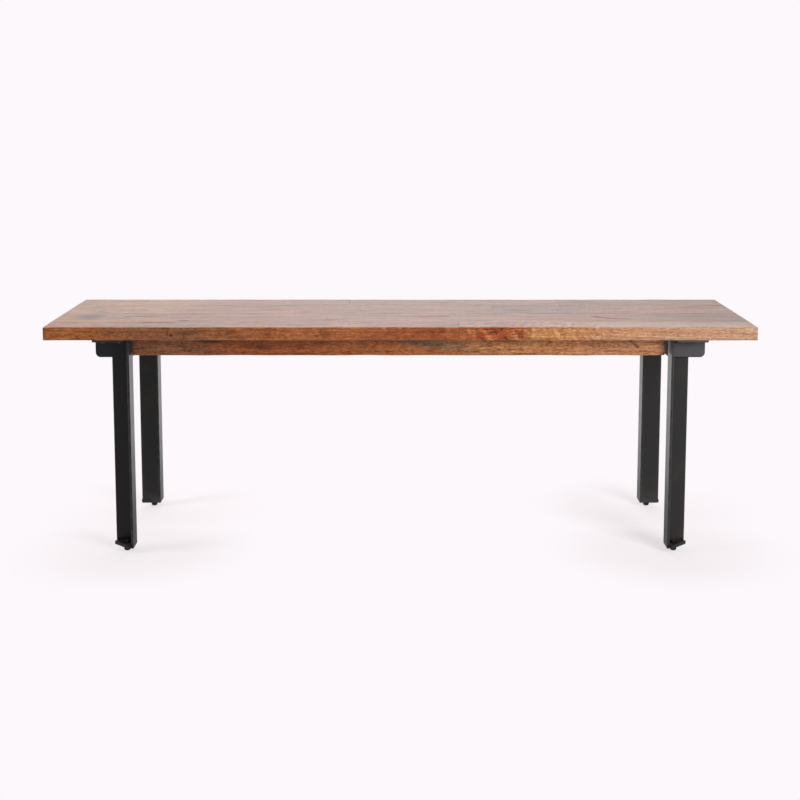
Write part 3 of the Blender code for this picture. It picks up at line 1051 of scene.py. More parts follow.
@dataclass
class SeatBoard(Plank):
    """A board of the seat, with cracks in its top and chips on the seat's outer arrises.

    Attributes:
        front: World y of the seat's front edge.
        outer: Whether the board lies at the seat's front and at its rear.
        cracks: Cracks in its top.
        chips: Chips on its outer arrises.
        rise: How far its top stands above the seat's level.
    """

    front: float = 0.0
    outer: tuple[bool, bool] = (False, False)
    cracks: tuple[Crack, ...] = ()
    chips: tuple[Chip, ...] = ()
    rise: float = 0.0

    def radii(self, x: np.ndarray) -> np.ndarray:
        """The outer arrises' rounds vary along the board, and grow at a chip."""
        radius = super().radii(x)
        places = np.stack([x, np.zeros_like(x), np.zeros_like(x)], -1)
        for corner, edge in ((3, "front"), (2, "rear"), (0, "front"), (1, "rear")):
            if not self.outer[0 if edge == "front" else 1]:
                continue
            drift = 1 + 0.26 * waves(places, (0.09, 1.0, 1.0), self.seed + 7 * corner)
            radius[:, corner] *= np.clip(drift, 0.45, 1.7)
            if corner in (0, 1):
                continue
            for chip in self.chips:
                if chip.edge == edge:
                    bell = np.exp(-np.abs((x - chip.x) / chip.length) ** 3)
                    radius[:, corner] += chip.bite * bell
        return radius

    def bruised(self, x: np.ndarray, direction: np.ndarray) -> np.ndarray:
        """Pale at the chips of the front top arris: a bell along X, on the arris's round only."""
        pale = super().bruised(x, direction)
        if not self.outer[0]:
            return pale
        round_only = np.clip(3 * np.minimum(-direction[:, 0], direction[:, 1]), 0, 1)[None, :]
        for chip in self.chips:
            if chip.edge == "front":
                bell = np.exp(-((x - chip.x) / chip.length) ** 4)
                pale = np.maximum(pale, chip.pale * bell * round_only)
        return pale

    def relief(self, points: np.ndarray, direction: np.ndarray) -> tuple[np.ndarray, np.ndarray]:
        """Unevenness, the board's own level and its cracks, the last two on the top only."""
        out, dark = super().relief(points, direction)
        top = np.clip(direction[:, 1], 0, 1)[None, :]
        out = out + self.rise * top
        for crack in self.cracks:
            groove = crack.groove(points[..., 0], points[..., 1], self.front) * top
            out = out - crack.depth * groove
            # The groove also sets how much painted shade the crack gets.
            dark = np.maximum(dark, np.clip(groove * 1.3, 0, 1))
        return out, dark


@dataclass
class Seat:
    """The seat: four rows of boards, each a separate piece, eased where they meet.

    Attributes:
        outer_arris: Round along the seat's front, rear and end arrises.
        seam_arris: Round where two boards meet.
        closing: How far each board reaches into the frame's glue line.
        rises: How far the boards' tops stand above the seat's level, in turn.
        looks: Finishes by node.
        cracks: Cracks in the top.
        chips: Chips on the outer arrises.
    """

    outer_arris: float = 0.0014
    seam_arris: float = 0.0003
    closing: float = 0.00013
    rises: tuple[float, ...] = (0.0, 0.00014, -0.00010, 0.00006, -0.00014, 0.00010, -0.00004)
    looks: dict[str, OiledWood] = field(default_factory=dict)
    cracks: tuple[Crack, ...] = (
        Crack(((-0.512, 0.054), (-0.490, 0.0595), (-0.468, 0.0580), (-0.444, 0.0605)), 0.0016, 0.0015),
        Crack(((-0.440, 0.080), (-0.428, 0.0840), (-0.416, 0.0815)), 0.0016, 0.0014),
        Crack(((-0.425, 0.290), (-0.421, 0.306), (-0.4240, 0.323)), 0.0016, 0.0014),
        Crack(((0.464, 0.106), (0.430, 0.112), (0.403, 0.126), (0.384, 0.148)), 0.0017, 0.0014),
        Crack(((-0.560, 0.134), (-0.520, 0.1365), (-0.478, 0.1350)), 0.0010, 0.0010),
        Crack(((0.026, 0.139), (0.062, 0.1410), (0.102, 0.1395)), 0.0010, 0.0010),
        Crack(((-0.150, 0.092), (-0.128, 0.0935)), 0.0010, 0.0010),
        Crack(((0.215, 0.222), (0.250, 0.2235), (0.275, 0.2220)), 0.0010, 0.0010),
    )
    chips: tuple[Chip, ...] = (
        Chip(-0.431, "front", 0.0030, 0.0010),
        Chip(-0.086, "front", 0.0040, 0.0014, 0.5),
        Chip(-0.031, "front", 0.0045, 0.0024, 1.0),
        Chip(0.000, "front", 0.0035, 0.0020, 0.9),
        Chip(0.016, "front", 0.0026, 0.0014, 0.7),
        Chip(0.1165, "front", 0.0042, 0.0026),
        Chip(-0.431, "rear", 0.0045, 0.0030),
        Chip(0.352, "rear", 0.0040, 0.0014),
        Chip(-0.604, "front", 0.0050, 0.0011),
        Chip(0.585, "front", 0.0060, 0.0009),
    )

    def board(self, node: str, number: int, whole: Block) -> SeatBoard:
        """Work out one board's box, arrises and detail from its node.

        Args:
            node: The board's node.
            number: Its place in the list of boards.
            whole: The box of the whole seat.

        Returns:
            The board.
        """
        block = Block.of(node)
        low, high = block.low.copy(), block.high.copy()
        at_low = np.isclose(low, whole.low, atol=0.0005)
        at_high = np.isclose(high, whole.high, atol=0.0005)
        low[:2] -= np.where(at_low[:2], 0.0, self.closing)
        high[:2] += np.where(at_high[:2], 0.0, self.closing)
        near = self.outer_arris if at_low[1] else self.seam_arris
        far = self.outer_arris if at_high[1] else self.seam_arris
        ends = tuple(self.outer_arris if outer else self.seam_arris for outer in (at_low[0], at_high[0]))
        front = whole.low[1]
        cracks = tuple(crack for crack in self.cracks if self.holds(crack, low, high, front))
        spans = [np.array(crack.path) + [0.0, front] for crack in cracks]
        margin = 0.003
        extra_x, extra_y = (
            [np.arange(span[:, axis].min() - margin, span[:, axis].max() + margin, step) for span in spans]
            for axis, step in enumerate((0.0012, 0.0006))
        )
        extra_x += [chip.x + chip.length * np.linspace(-1.6, 1.6, 17) for chip in self.chips]
        return SeatBoard(
            low, high, (near, far, far, near), ends, seed=number + 3,
            extra_x=np.concatenate(extra_x), extra_y=np.concatenate([*extra_y, np.zeros(0)]),
            front=front, outer=(bool(at_low[1]), bool(at_high[1])), cracks=cracks, chips=self.chips,
            rise=self.rises[number % len(self.rises)],
        )

    @staticmethod
    def holds(crack: Crack, low: np.ndarray, high: np.ndarray, front: float) -> bool:
        """Whether a crack starts within a board."""
        x, behind = crack.path[0]
        return bool(low[0] < x < high[0] and low[1] < behind + front < high[1])

    def build(self, nodes: list[str]) -> None:
        """Make every board of the seat."""
        whole = Block.of(*nodes)
        for number, node in enumerate(nodes):
            board = self.board(node, number, whole)
            rings, marks = board.surface()
            piece = skin(node.replace("board", "seat_board"), rings, marks)
            dress(piece, self.looks[node].build(f"wood_{node}"), "seat_wood", FRAME_BODY, node)


@dataclass
class Rail(Plank):
    """A long wooden rail under the seat, left a little rough from the saw.

    Attributes:
        low_right: Extra round of its lower right corner, seen from the front.
        holes: World (x, y) of each screw that sits in a recess in its underside.
        hole: Radius of a recess.
        depth: Depth of a recess.
        snap: How close to a recess's edge a point is moved onto it.
    """

    low_right: float = 0.0035
    holes: np.ndarray = field(default_factory=lambda: np.zeros((0, 2)))
    hole: float = 0.0058
    depth: float = 0.012
    snap: float = 0.00035

    def face_shares(self, side: int) -> np.ndarray:
        """The underside gets close lines for its recesses."""
        return np.linspace(0.012, 0.988, 41) if side == 0 else super().face_shares(side)

    def drilled(self, points: np.ndarray, direction: np.ndarray) -> np.ndarray:
        """Sink the recesses into the underside.

        A point's distance from the nearest screw is snapped to the recess's edge if it is close,
        so that the edge is round, and every point inside the edge is lifted by the depth.
        """
        under = (direction[:, 1] < -0.999)[None, :]
        away = points[..., None, :2] - self.holes
        reach = np.hypot(away[..., 0], away[..., 1])
        nearest = np.argmin(reach, axis=-1)[..., None]
        reach = np.take_along_axis(reach, nearest, -1)[..., 0]
        spoke = np.take_along_axis(away, nearest[..., None], -2)[..., 0, :]
        spoke = spoke / np.maximum(reach, 1e-6)[..., None]
        inside = reach < self.hole - self.snap
        edge = np.where(np.abs(reach - self.hole) < self.snap, self.hole, reach)
        edge = np.where(inside & (reach > self.hole - 0.0010), self.hole - 0.00008, edge)
        points[..., :2] += np.where(under, edge - reach, 0.0)[..., None] * spoke
        points[..., 2] += np.where(under & inside, self.depth, 0.0)
        return points

    def surface(self) -> tuple[np.ndarray, dict[str, np.ndarray]]:
        """The plank's grid, with its lower corner at the right end rounded off.

        Points in the lower part rise towards the end along a quarter circle.
        """
        points, marks = super().surface()
        into = np.clip((points[..., 0] - (self.high[0] - self.low_right)) / self.low_right, 0, 1)
        lift = self.low_right * (1 - np.sqrt(1 - np.minimum(into, 0.999) ** 2))
        share = np.clip(1 - (points[..., 2] - self.low[2]) / (2.5 * self.low_right), 0, 1)
        points[..., 2] += lift * share
        return self.drilled(points, self.section()[3]), marks


@dataclass
class Rails:
    """The two rails that stiffen the seat between the legs.

    Attributes:
        arris: Round along each arris.
        looks: Finishes by node.
    """

    arris: float = 0.0012
    looks: dict[str, OiledWood] = field(default_factory=dict)

    def build(self) -> None:
        """Make both rails."""
        for number, (node, look) in enumerate(self.looks.items()):
            block = Block.of(node)
            side = node.removesuffix("_rail")
            screws = [Block.of(f"rail_screw_{side}_{count}") for count in (1, 2, 3, 4)]
            holes = np.array([screw.middle[:2] for screw in screws])
            extra = [x + np.linspace(-0.0069, 0.0069, 25) for x in holes[:, 0]]
            extra.append(np.linspace(block.high[0] - 0.006, block.high[0], 14))
            rail = Rail(block.low, block.high, (self.arris,) * 4, (0.0009, 0.0009),
                        uneven=0.00022, seed=40 + number, extra_x=np.concatenate(extra), holes=holes)
            rings, marks = rail.surface()
            piece = skin(node.replace("_rail", "_apron_rail"), rings, marks)
            dress(piece, look.build(f"wood_{node}"), "rail_wood", FRAME_BODY, node)


@dataclass(frozen=True)
class AngleIron:
    """Section of hot-rolled angle: two flanges, a round root, round toes and barely eased arrises.

    Attributes:
        thickness: Thickness of a flange.
        root: Radius in the inner corner.
        toe: Radius of the inner arris of each toe.
        heel: Radius of the outer corner.
        crisp: Radius of the outer arris of each toe.
    """

    thickness: float = 0.005
    root: float = 0.004
    toe: float = 0.0025
    heel: float = 0.0009
    crisp: float = 0.0006

    def outline(self, first: float, second: float, step: float = 0.006) -> np.ndarray:
        """Outline with one flange along the first coordinate and one along the second."""
        t = self.thickness
        corners = [(0.0, 0.0), (first, 0.0), (first, t), (t, t), (t, second), (0.0, second)]
        radii = [self.heel, self.crisp, self.toe, self.root, self.toe, self.crisp]
        return rounded_loop(corners, radii, step)

    def rubbed(self, outline: np.ndarray, first: float, second: float) -> np.ndarray:
        """How exposed each point of the outline is: 1 on the toes and on the heel, else 0."""
        toes = np.maximum(outline[:, 0] - first, outline[:, 1] - second) > -0.0026
        heel = np.hypot(outline[:, 0], outline[:, 1]) < 0.0016
        return np.where(toes | heel, 1.0, 0.0)


def bead(
    start: np.ndarray, end: np.ndarray, radius: float, seed: int, ripple: float = 0.0026
) -> np.ndarray:
    """Grid of a weld bead: a round bar that swells in ripples and closes at both ends.

    The radius at a place along the bead is its end profile, the root of sin, times one plus a
    ripple of that pitch and a slow swelling; the ripples lean back like fish scales because the
    phase lags with the angle round the bead.

    Args:
        start: Where the bead starts.
        end: Where it ends.
        radius: Its usual radius.
        seed: Seed of the slow swelling.
        ripple: Pitch of the ripples.

    Returns:
        Points as (ring, point on the ring, xyz).
    """
    run = end - start
    length = float(np.linalg.norm(run))
    ahead = run / length
    side = np.cross(ahead, [0.31, 0.52, 0.79])
    side /= np.linalg.norm(side)
    up = np.cross(ahead, side)
    stations = np.linspace(0, 1, max(16, int(length / ripple * 7)))
    around = np.linspace(0, 2 * math.pi, 16, endpoint=False)
    share, angle = np.meshgrid(stations, around, indexing="ij")
    ends = np.clip(share * length / radius, 0, 1) * np.clip((1 - share) * length / radius, 0, 1)
    swell = waves(np.stack([share * length, angle * 0.001, share * 0], -1), (0.009, 0.004, 1.0), seed)
    scale = 0.13 * np.abs(np.sin(math.pi * share * length / ripple + 0.6 * np.cos(angle)))
    size = radius * (0.22 + 0.78 * np.sqrt(ends)) * (0.93 + scale + 0.07 * swell)
    spoke = np.cos(angle)[..., None] * side + np.sin(angle)[..., None] * up
    return start + share[..., None] * run + size[..., None] * spoke


@dataclass
class LegFrame:
    """The black frame at the four corners: legs, brackets, crossbars, foot plates and welds.

    Attributes:
        section: The angle iron that everything is cut from.
        cut: Easing of a sawn end.
        bracket_round: Radius of a bracket's lower outer corner.
        flange_round: Radius of the outer corner of a bracket's seat flange.
        bead_radius: Radius of a weld bead.
        plate_hole: Radius of the stud's hole in a foot plate.
        plate_ease: Easing of a foot plate's arrises.
    """

    section: AngleIron = AngleIron()
    cut: float = 0.0005
    bracket_round: float = 0.009
    flange_round: float = 0.003
    bead_radius: float = 0.0019
    plate_hole: float = 0.0033
    plate_ease: float = 0.0005

    def leg(self, corner: Corner, iron: Material) -> None:
        """One leg: the angle's outline carried straight up."""
        node = f"leg_{corner.name}"
        block = Block.of(node)
        width = block.high[0] - block.low[0]
        outline = self.section.outline(width, width)
        stations, insets = eased_ends(block.low[2], block.high[2], self.cut, 0.03)
        flat = outline[None] + insets[:, None, None] * inward(outline)[None]
        rings = corner.place(flat[..., 0], flat[..., 1], stations[:, None])
        arris = np.repeat(self.section.rubbed(outline, width, width)[None], len(stations), 0)
        low_end = np.exp(-(stations - block.low[2]) / 0.004)[:, None]
        piece = skin(f"angle_leg_{corner.name}", rings, {"arris": np.maximum(arris * 0.7, low_end)})
        dress(piece, iron, "black_iron", FRAME_BODY, node)

    def bracket(self, corner: Corner, iron: Material) -> None:
        """The short angle nested in the leg's top, whose web ends in a round lower corner.

        Its outline is carried outward along X. Near the end the web's lower edge rises along a
        quarter circle, and the seat flange's edge comes in along a smaller one.
        """
        node = f"leg_bracket_{corner.name}"
        block = Block.of(node)
        top, foot = block.high[2], block.low[2]
        near = min(abs(block.low[1]), abs(block.high[1])) - abs(corner.heel[1])
        reach = max(abs(block.low[1]), abs(block.high[1])) - abs(corner.heel[1]) - near
        start = near + self.section.root
        end = max(abs(block.low[0]), abs(block.high[0])) - abs(corner.heel[0])
        outline = self.section.outline(reach, top - foot)
        angle = np.linspace(0, math.pi / 2, 12)
        curve = end - self.bracket_round * (1 - np.sin(angle))
        stations, _ = eased_ends(start, end, self.cut, 0.008)
        easing = end - self.cut * (1 - np.sin(angle[::3]))
        stations = np.unique(np.round(np.concatenate([stations, curve[:-1], easing]), 6))
        gap = np.minimum(stations - start, end - stations)
        insets = self.cut - np.sqrt(np.maximum(self.cut**2 - np.maximum(self.cut - gap, 0) ** 2, 0))
        into = np.clip((stations - (end - self.bracket_round)) / self.bracket_round, 0, 1)
        raised = self.bracket_round * (1 - np.sqrt(1 - into**2))
        tip = np.clip((stations - (end - self.flange_round)) / self.flange_round, 0, 1)
        drawn = self.flange_round * (1 - np.sqrt(1 - tip**2))
        flat = outline[None] + insets[:, None, None] * inward(outline)[None]
        web = np.clip((outline[:, 1] - self.section.thickness) / 0.02, 0, 1)
        edge = np.clip((outline[:, 0] - self.section.thickness) / 0.02, 0, 1)
        v = near + flat[..., 0] - drawn[:, None] * edge[None]
        z = top - flat[..., 1] + raised[:, None] * web[None]
        rings = corner.place(stations[:, None], v, z)
        arris = np.repeat(self.section.rubbed(outline, reach, top - foot)[None], len(stations), 0)
        piece = skin(f"seat_bracket_{corner.name}", rings, {"arris": 0.6 * arris})
        dress(piece, iron, "black_iron", FRAME_BODY, node)

    def crossbar(self, side: str, iron: Material) -> None:
        """The angle between a front and a rear leg: its outline carried along Y."""
        node = f"crossbar_{side}"
        block = Block.of(node)
        sign = 1 if side == "right" else -1
        heel = min(abs(block.low[0]), abs(block.high[0]))
        width, drop = block.high[0] - block.low[0], block.high[2] - block.low[2]
        outline = self.section.outline(width, drop)
        stations, insets = eased_ends(block.low[1], block.high[1], self.cut, 0.02)
        flat = outline[None] + insets[:, None, None] * inward(outline)[None]
        x = sign * (heel + flat[..., 0])
        z = block.high[2] - flat[..., 1]
        rings = np.stack([x, np.broadcast_to(stations[:, None], x.shape), z], -1)
        arris = np.repeat(self.section.rubbed(outline, width, drop)[None], len(stations), 0)
        piece = skin(f"angle_crossbar_{side}", rings, {"arris": 0.5 * arris})
        dress(piece, iron, "black_iron", FRAME_BODY, node)

    def foot_plate(self, corner: Corner, iron: Material) -> None:
        """The diagonal plate across the leg's foot, with the stud's hole through it.

        The plate is a ring round the stud: at each direction, rays run from the hole to the
        plate's outline, and the section between them goes over the top, down the outer edge,
        back under and up through the hole. A little weld spatter lifts the top.
        """
        node = f"foot_plate_{corner.name}"
        block = Block.of(node)
        near = min(abs(block.low[0]), abs(block.high[0])) - abs(corner.heel[0])
        far = max(abs(block.low[0]), abs(block.high[0])) - abs(corner.heel[0])
        clear = near + 0.004
        corners = [(clear, near), (far, near), (far, clear), (clear, far), (near, far), (near, clear)]
        outer = rounded_loop(corners, [0.0008, 0.0018, 0.0018, 0.0018, 0.0018, 0.0008], 0.0016, 5)
        axis = self.foot_axis(corner)
        ray = outer - axis
        length = np.linalg.norm(ray, axis=1, keepdims=True)
        spoke = ray / length
        hole, ease = self.plate_hole, self.plate_ease
        low, high = block.low[2], block.high[2]
        turn = np.linspace(0, math.pi / 2, 4)
        across = np.linspace(0, 1, 9)
        inner_reach, outer_reach = hole + ease, length - ease
        top = inner_reach + (outer_reach - inner_reach) * across[None, :]
        rim = outer_reach + ease * np.sin(turn)[None, :]
        bottom = top[:, ::-1]
        bore = inner_reach - ease * np.sin(turn)[None, :]
        bore = np.repeat(bore, len(outer), 0)
        reach = np.concatenate([top, rim, rim[:, ::-1], bottom, bore, bore[:, ::-1]], 1)
        rise = ease * (1 - np.cos(turn))
        over, under = np.full(len(across), high), np.full(len(across), low)
        sunk, lifted = high - rise, low + rise
        height = np.concatenate([over, sunk, lifted[::-1], under, lifted, sunk[::-1]])
        flat = axis[None, None] + reach[..., None] * spoke[:, None]
        z = np.broadcast_to(height, reach.shape).copy()
        places = np.stack([flat[..., 0], flat[..., 1], z], -1)
        rough = waves(places, (0.006, 0.006, 0.004), 70 + corner.side_x + 3 * corner.side_y)
        away = np.hypot(*(np.moveaxis(flat, -1, 0) - axis[:, None, None]))
        spatter = np.clip((away - 0.0062) / 0.005, 0, 1) * (z > high - 0.0004)
        z += 0.0009 * np.clip(rough + 0.3, 0, 1.6) * spatter
        rings = corner.place(flat[..., 0], flat[..., 1], z)
        piece = skin(f"foot_tie_plate_{corner.name}", rings, {"arris": 0.35 * spatter}, capped=False)
        dress(piece, iron, "black_iron", FRAME_BODY, node)

    @staticmethod
    def foot_axis(corner: Corner) -> np.ndarray:
        """The stud's axis as distances (u, v) from the heel."""
        middle = Block.of(f"foot_stud_{corner.name}").middle
        return np.abs(middle[:2]) - np.abs(np.array(corner.heel))

    def welds(self, corner: Corner, iron: Material) -> None:
        """Beads round one leg: under its bracket, up beside the crossbar and along the foot plate."""
        leg, plate = Block.of(f"leg_{corner.name}"), Block.of(f"foot_plate_{corner.name}")
        bracket = Block.of(f"leg_bracket_{corner.name}")
        width, t = leg.high[0] - leg.low[0], self.section.thickness
        under, r = bracket.low[2], self.bead_radius
        plate_low, plate_top = plate.low[2] + 0.001, plate.high[2]
        tip, past = width - 0.0015, width + 0.0002
        runs = [
            ((t + 0.006, t + 0.0006, under - 0.0004), (width - 0.002, t + 0.0006, under - 0.0004), 0.75),
            ((t + 0.0004, -0.0004, under + 0.004), (t + 0.0004, -0.0004, leg.high[2] - 0.007), 0.7),
            ((t + 0.016, t + 0.0006, plate_top), (tip + 0.001, t + 0.0006, plate_top + 0.0006), 1.5),
            ((t + 0.0006, t + 0.016, plate_top), (t + 0.0006, tip + 0.001, plate_top + 0.0006), 1.5),
            ((tip - 0.004, t + 0.003, plate_top), (tip - 0.001, t + 0.0012, plate_top + 0.004), 1.4),
            ((past, t + 0.0002, plate_low), (past, t + 0.0002, plate_top), 1.0),
            ((t - 0.0012, past, plate_low), (t - 0.0012, past, plate_top), 1.1),
        ]
        shells = []
        for number, (start, end, size) in enumerate(runs):
            seed = 110 + 10 * number + corner.side_x + 2 * corner.side_y
            rings = bead(corner.place(*start), corner.place(*end), r * size, seed)
            shells.append(skin(f"bead_{number}", rings, {"arris": np.zeros(rings.shape[:2])}))
        piece = join(f"weld_beads_{corner.name}", shells)
        dress(piece, iron, "black_iron", FRAME_BODY)

    def build(
        self, corners: list[Corner], iron: Material, painted_light_iron: Material, painted_glare_iron: Material, matt: Material
    ) -> None:
        """Make the frame at every corner and the two crossbars.

        Args:
            corners: The corners of the bench.
            iron: The coat of most pieces.
            painted_light_iron: A lighter copy of the coat for the right-hand legs: painted light, for the
                extra light that the key throws on that side.
            painted_glare_iron: A much lighter, rougher copy of the coat for the front right bracket: a
                painted reflection of the key's glare on its face.
            matt: The flat coat of the crossbars.
        """
        for corner in corners:
            # The right-hand legs take the lighter copy of the coat: painted light for the key on that
            # side.
            self.leg(corner, painted_light_iron if corner.side_x > 0 else iron)
            # The front right bracket takes the much lighter copy: a painted reflection of the key's glare.
            self.bracket(corner, painted_glare_iron if corner.name == "front_right" else iron)
            self.foot_plate(corner, iron)
            self.welds(corner, iron)
        for side in ("left", "right"):
            self.crossbar(side, matt)


def thread(height: np.ndarray, pitch: float, sides: int) -> np.ndarray:
    """How deep in a screw thread's groove each point of a turned grid lies, from 0 to 1.

    It is a saw of the height less the pitch times the share of a turn, so that the crest climbs
    by the pitch each time round.

    Args:
        height: Height of each ring.
        pitch: Pitch of the thread.
        sides: Steps round the axis.

    Returns:
        The depth as (ring, step round the axis).
    """
    share = np.linspace(0, 2 * math.pi, sides, endpoint=False)[None] / (2 * math.pi)
    phase = (height[:, None] - pitch * share) / pitch
    return np.abs(2 * (phase - np.floor(phase)) - 1)


def turned(centre: Pair, radius: np.ndarray, height: np.ndarray, sides: int) -> np.ndarray:
    """Grid of a turned shape: a profile of radii and heights carried round an upright axis.

    Args:
        centre: World (x, y) of the axis.
        radius: Radius at each point of the profile, or at each point and angle.
        height: Height at each point of the profile.
        sides: Steps round the axis.

    Returns:
        Points as (profile point, step round the axis, xyz).
    """
    angle = np.linspace(0, 2 * math.pi, sides, endpoint=False)
    radius = np.asarray(radius, float)
    if radius.ndim == 1:
        radius = np.repeat(radius[:, None], sides, 1)
    high = np.asarray(height, float)
    if high.ndim == 1:
        high = np.repeat(high[:, None], sides, 1)
    return np.stack([centre[0] + radius * np.cos(angle), centre[1] + radius * np.sin(angle), high], -1)


@dataclass
class ScrewFeet:
    """The levelling feet: a nut on the foot plate, a threaded stud and a domed glide at each leg.

    Attributes:
        pitch: Pitch of the stud's thread.
        thread: Depth of the thread.
        bore: Radius of the nut's hole.
        flats: Width of the nut across its flats.
        pad: Radius of the flat that the glide stands on.
        bulge: Height of the glide's bulge.
        shoulder: Radius of the glide's shoulder.
    """

    pitch: float = 0.001
    thread: float = 0.00042
    bore: float = 0.0033
    flats: float = 0.010
    pad: float = 0.0036
    bulge: float = 0.0040
    shoulder: float = 0.0013

    def nut(self, corner: Corner, centre: Pair, iron: Material) -> None:
        """A thin hexagon nut, chamfered to a circle at top and bottom.

        It is a ring round the stud: in each direction the outer reach is the hexagon's, but near
        the two faces no more than a cone's that cuts the six points off.
        """
        node = f"foot_nut_{corner.name}"
        block = Block.of(node)
        low, high = block.low[2], block.high[2]
        angle = np.linspace(0, 2 * math.pi, 96, endpoint=False)
        wedge = np.mod(angle, math.pi / 3) - math.pi / 6
        hexagon = self.flats / 2 / np.cos(wedge)
        rise = np.linspace(0, 1, 11)
        z_outer = low + (high - low) * rise
        cone = self.flats / 2 + 0.0001 + np.minimum(rise, 1 - rise) * (high - low) * 1.9
        outer = np.minimum(hexagon[:, None], cone[None, :])
        mouth = self.bore + 0.0004 * np.clip(1 - np.minimum(rise, 1 - rise) * 6, 0, 1)
        inner = np.repeat(mouth[None, ::-1], 96, 0)
        reach = np.concatenate([outer, inner], 1)
        height = np.concatenate([z_outer, z_outer[::-1]])
        spoke = np.stack([np.cos(angle), np.sin(angle)], -1)
        flat = np.array(centre) + reach[..., None] * spoke[:, None]
        rings = np.concatenate([flat, np.broadcast_to(height, reach.shape)[..., None]], -1)
        marks = {"arris": np.full(reach.shape, 0.25)}
        piece = skin(f"lock_nut_{corner.name}", rings, marks, capped=False, sharp=25)
        dress(piece, iron, "black_iron", FRAME_BODY, node)

    def stud(self, corner: Corner, centre: Pair, zinc: Material) -> None:
        """A threaded stud with a chamfered tip."""
        node = f"foot_stud_{corner.name}"
        block = Block.of(node)
        radius = (block.high[0] - block.low[0]) / 2
        low, high = block.low[2], block.high[2]
        height, sides = np.linspace(low, high, 150), 36
        groove = np.clip(thread(height, self.pitch, sides) * 1.35 - 0.15, 0, 1)
        ends = np.minimum(height - low, high - height)[:, None]
        chamfer = np.clip(0.0009 - ends, 0, 1)
        size = np.minimum(radius - self.thread * groove, radius - 0.85 * chamfer)
        rings = turned(centre, size, height, sides)
        piece = skin(f"threaded_stud_{corner.name}", rings, {"groove": 0.75 * groove}, sharp=60)
        dress(piece, zinc, "stud_zinc", f"stud_{corner.name}", node)

    def glide(self, corner: Corner, centre: Pair, nylon: Material) -> None:
        """A domed glide: flat below, bulging out to a shoulder, with a collar round the stud.

        The bulge is a quarter ellipse from the flat to the full radius, the shoulder a quarter
        circle. The socket goes down to just under the stud.
        """
        node = f"foot_glide_{corner.name}"
        block = Block.of(node)
        radius = (block.high[0] - block.low[0]) / 2
        top = block.high[2]
        angle = np.linspace(0, math.pi / 2, 12)
        bulge_r = self.pad + (radius - self.pad) * np.sin(angle)
        bulge_z = self.bulge * (1 - np.cos(angle))
        shoulder_r = radius - self.shoulder * (1 - np.cos(angle))
        shoulder_z = top - self.shoulder * (1 - np.sin(angle))
        rim_r = np.linspace(radius - self.shoulder, 0.0036, 6)[1:]
        rim_z = top - 0.00010 * np.sin(np.linspace(0, math.pi, 6))[1:]
        socket_r = np.array([0.00335, 0.0033, 0.0033, 0.0031])
        socket_z = np.array([top - 0.0002, top - 0.0006, 0.0027, 0.0025])
        r = np.concatenate([[0.0030], bulge_r, shoulder_r[1:], rim_r, socket_r, [0.0015]])
        z = np.concatenate([[0.0], bulge_z, shoulder_z[1:], rim_z, socket_z, [0.0025]])
        rings = turned(centre, r, z, 48)
        piece = skin(f"domed_glide_{corner.name}", rings)
        dress(piece, nylon, "glide_nylon", f"glide_{corner.name}", node)

    def build(self, corners: list[Corner], iron: Material, zinc: Material, nylon: Material) -> None:
        """Make the four feet."""
        for corner in corners:
            middle = Block.of(f"foot_stud_{corner.name}").middle
            centre = (float(middle[0]), float(middle[1]))
            self.nut(corner, centre, iron)
            self.stud(corner, centre, zinc)
            self.glide(corner, centre, nylon)


